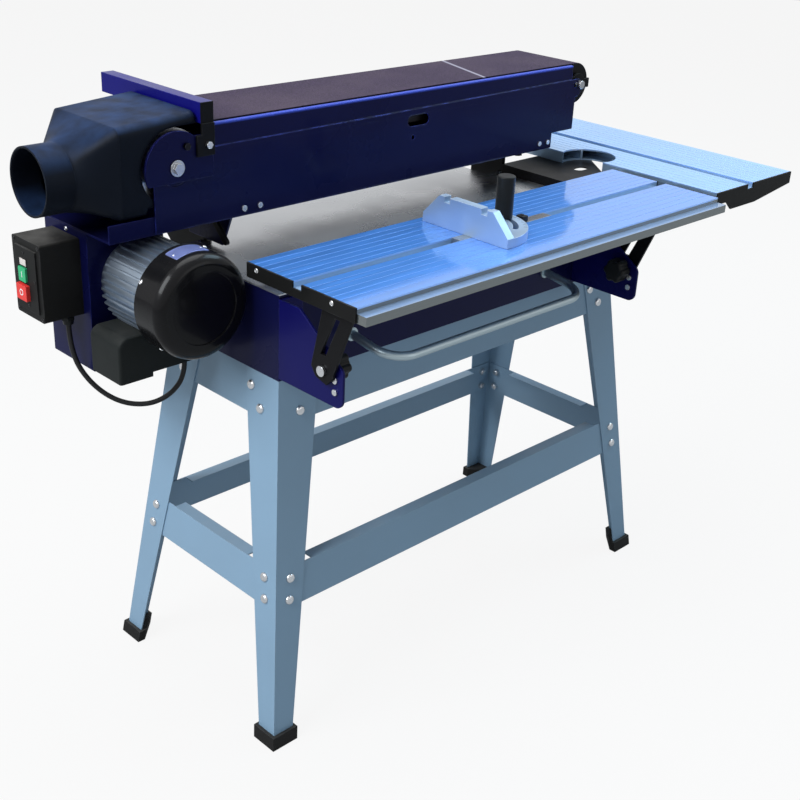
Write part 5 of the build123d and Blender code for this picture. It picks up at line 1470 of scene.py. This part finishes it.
    def bracket_screw(self) -> None:
        """Make the screw in the top of the motor bracket's left panel."""
        low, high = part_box("motor_bracket")
        y = low.y + self.bracket_screw_from_front
        place = Vector((low.x, y, high.z - self.bracket_screw_below_top))
        form = Form()
        form.screw(place, LEFT, self.screw_radius, self.screw_height)
        form.piece("bracket_screw", Finishes.ZINC, Body.UNIT)

    def guard_screws(self) -> None:
        """Make the screws in the guard's rear wall, round the drum pulley."""
        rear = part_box("drive_guard")[1].y
        low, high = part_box("drum_pulley")
        middle = Vector(((low.x + high.x) / 2, rear, (low.z + high.z) / 2))
        reach = (high.x - low.x) / 2
        form = Form()
        for degrees in self.guard_screw_angles:
            form.screw(middle + reach * ray(degrees), BACK, self.screw_radius, self.screw_height)
        form.piece("guard_screws", Finishes.ZINC, Body.UNIT)


@dataclass
class SwitchBox:
    """Switch box with its two buttons, lamp window and screws."""

    face_plate: float = 3.0 * MM
    lamp_from_front: float = 44.0 * MM
    lamp_above_low: float = 85.0 * MM
    lamp_half: Point = (1.6 * MM, 8.5 * MM, 5.0 * MM)
    lamp_rounding: float = 0.7 * MM
    bezel: float = 1.5 * MM
    bezel_proud: float = 0.9 * MM
    bezel_rounding: float = 0.6 * MM
    corner_inset: float = 5.2 * MM
    corner_screw: tuple[float, float] = (3.2 * MM, 1.4 * MM)
    face_screw: tuple[float, float] = (2.3 * MM, 1.0 * MM)
    face_places_mm: tuple[tuple[float, float], ...] = (
        (4.0, 40.0), (24.0, 2.0), (-24.0, 2.0), (-2.0, -40.0)
    )
    ring_radius: float = 5.0 * MM
    ring_width: float = 1.6 * MM
    bar_size: tuple[float, float] = (1.8 * MM, 9.0 * MM)
    mark_proud: float = 0.35 * MM

    def build(self) -> None:
        """Dress the box and its buttons, and add lamp, marks and screws."""
        dress(Finishes.SWITCH, "switch_box")
        dress(Finishes.GREEN, "start_button")
        dress(Finishes.RED, "stop_button")
        low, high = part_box("switch_box")
        self.lamp(low)
        self.start_mark()
        self.stop_mark()
        self.screws(low, high)

    def lamp(self, low: Vector) -> None:
        """Make the lamp's window and the frame round it.

        Args:
            low: the box's lowest corner.
        """
        middle = Vector((low.x, low.y + self.lamp_from_front, low.z + self.lamp_above_low))
        half = Vector(self.lamp_half)
        window = Form()
        window.block(middle - half, middle + half, self.lamp_rounding)
        window.piece("lamp_window", Finishes.LENS, Body.UNIT)
        edge = Vector((self.bezel_proud, half.y + self.bezel, half.z + self.bezel))
        bezel = Form()
        bezel.block(middle - edge, middle + edge, self.bezel_rounding)
        bezel.piece("lamp_frame", Finishes.SWITCH, Body.UNIT)

    def face(self, button: str) -> Vector:
        """Find the middle of a button's outer face.

        Args:
            button: the button's name.

        Returns:
            The point.
        """
        low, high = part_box(button)
        return Vector((low.x, (low.y + high.y) / 2, (low.z + high.z) / 2))

    def start_mark(self) -> None:
        """Make the bar on the start button."""
        middle = self.face("start_button")
        width, height = self.bar_size
        half = Vector((self.mark_proud, width / 2, height / 2))
        form = Form()
        form.block(middle - half, middle + half, self.mark_proud / 2)
        form.piece("start_mark", Finishes.MARK, Body.START)

    def stop_mark(self) -> None:
        """Make the ring on the stop button."""
        outer = self.ring_radius
        inner = self.ring_radius - self.ring_width
        proud = self.mark_proud
        soft = proud * 0.3
        rise = proud * 0.7
        outline = [(inner, -proud), (inner, rise), (inner + soft, proud), (outer - soft, proud)]
        outline += [(outer, rise), (outer, -proud), (inner, -proud)]
        form = Form()
        form.turned(outline, self.face("stop_button"), LEFT)
        bmesh.ops.remove_doubles(form.mesh, verts=form.mesh.verts, dist=1e-6)
        form.piece("stop_mark", Finishes.MARK, Body.STOP)

    def screws(self, low: Vector, high: Vector) -> None:
        """Make the four corner screws and the four small screws of the face plate.

        Args:
            low: the box's lowest corner.
            high: its highest corner.
        """
        form = Form()
        for y in (low.y + self.corner_inset, high.y - self.corner_inset):
            for z in (low.z + self.corner_inset, high.z - self.corner_inset):
                form.screw(Vector((low.x + self.face_plate, y, z)), LEFT, *self.corner_screw)
        middle = (low + high) / 2
        for y, z in self.face_places_mm:
            place = Vector((low.x, middle.y + y * MM, middle.z + z * MM))
            form.screw(place, LEFT, *self.face_screw)
        form.piece("switch_screws", Finishes.DARK_SCREW, Body.UNIT)


def main() -> None:
    """Build the scene, one sub-assembly after another."""
    logging.basicConfig(level=logging.INFO, format="%(name)s: %(message)s")
    Studio().build()
    MotorLead().build()
    for assembly in (Stand(), Base(), Tables(), MitreGauge(), BeltUnit(), Drive(), SwitchBox()):
        assembly.build()


if __name__ == "__main__":
    main()
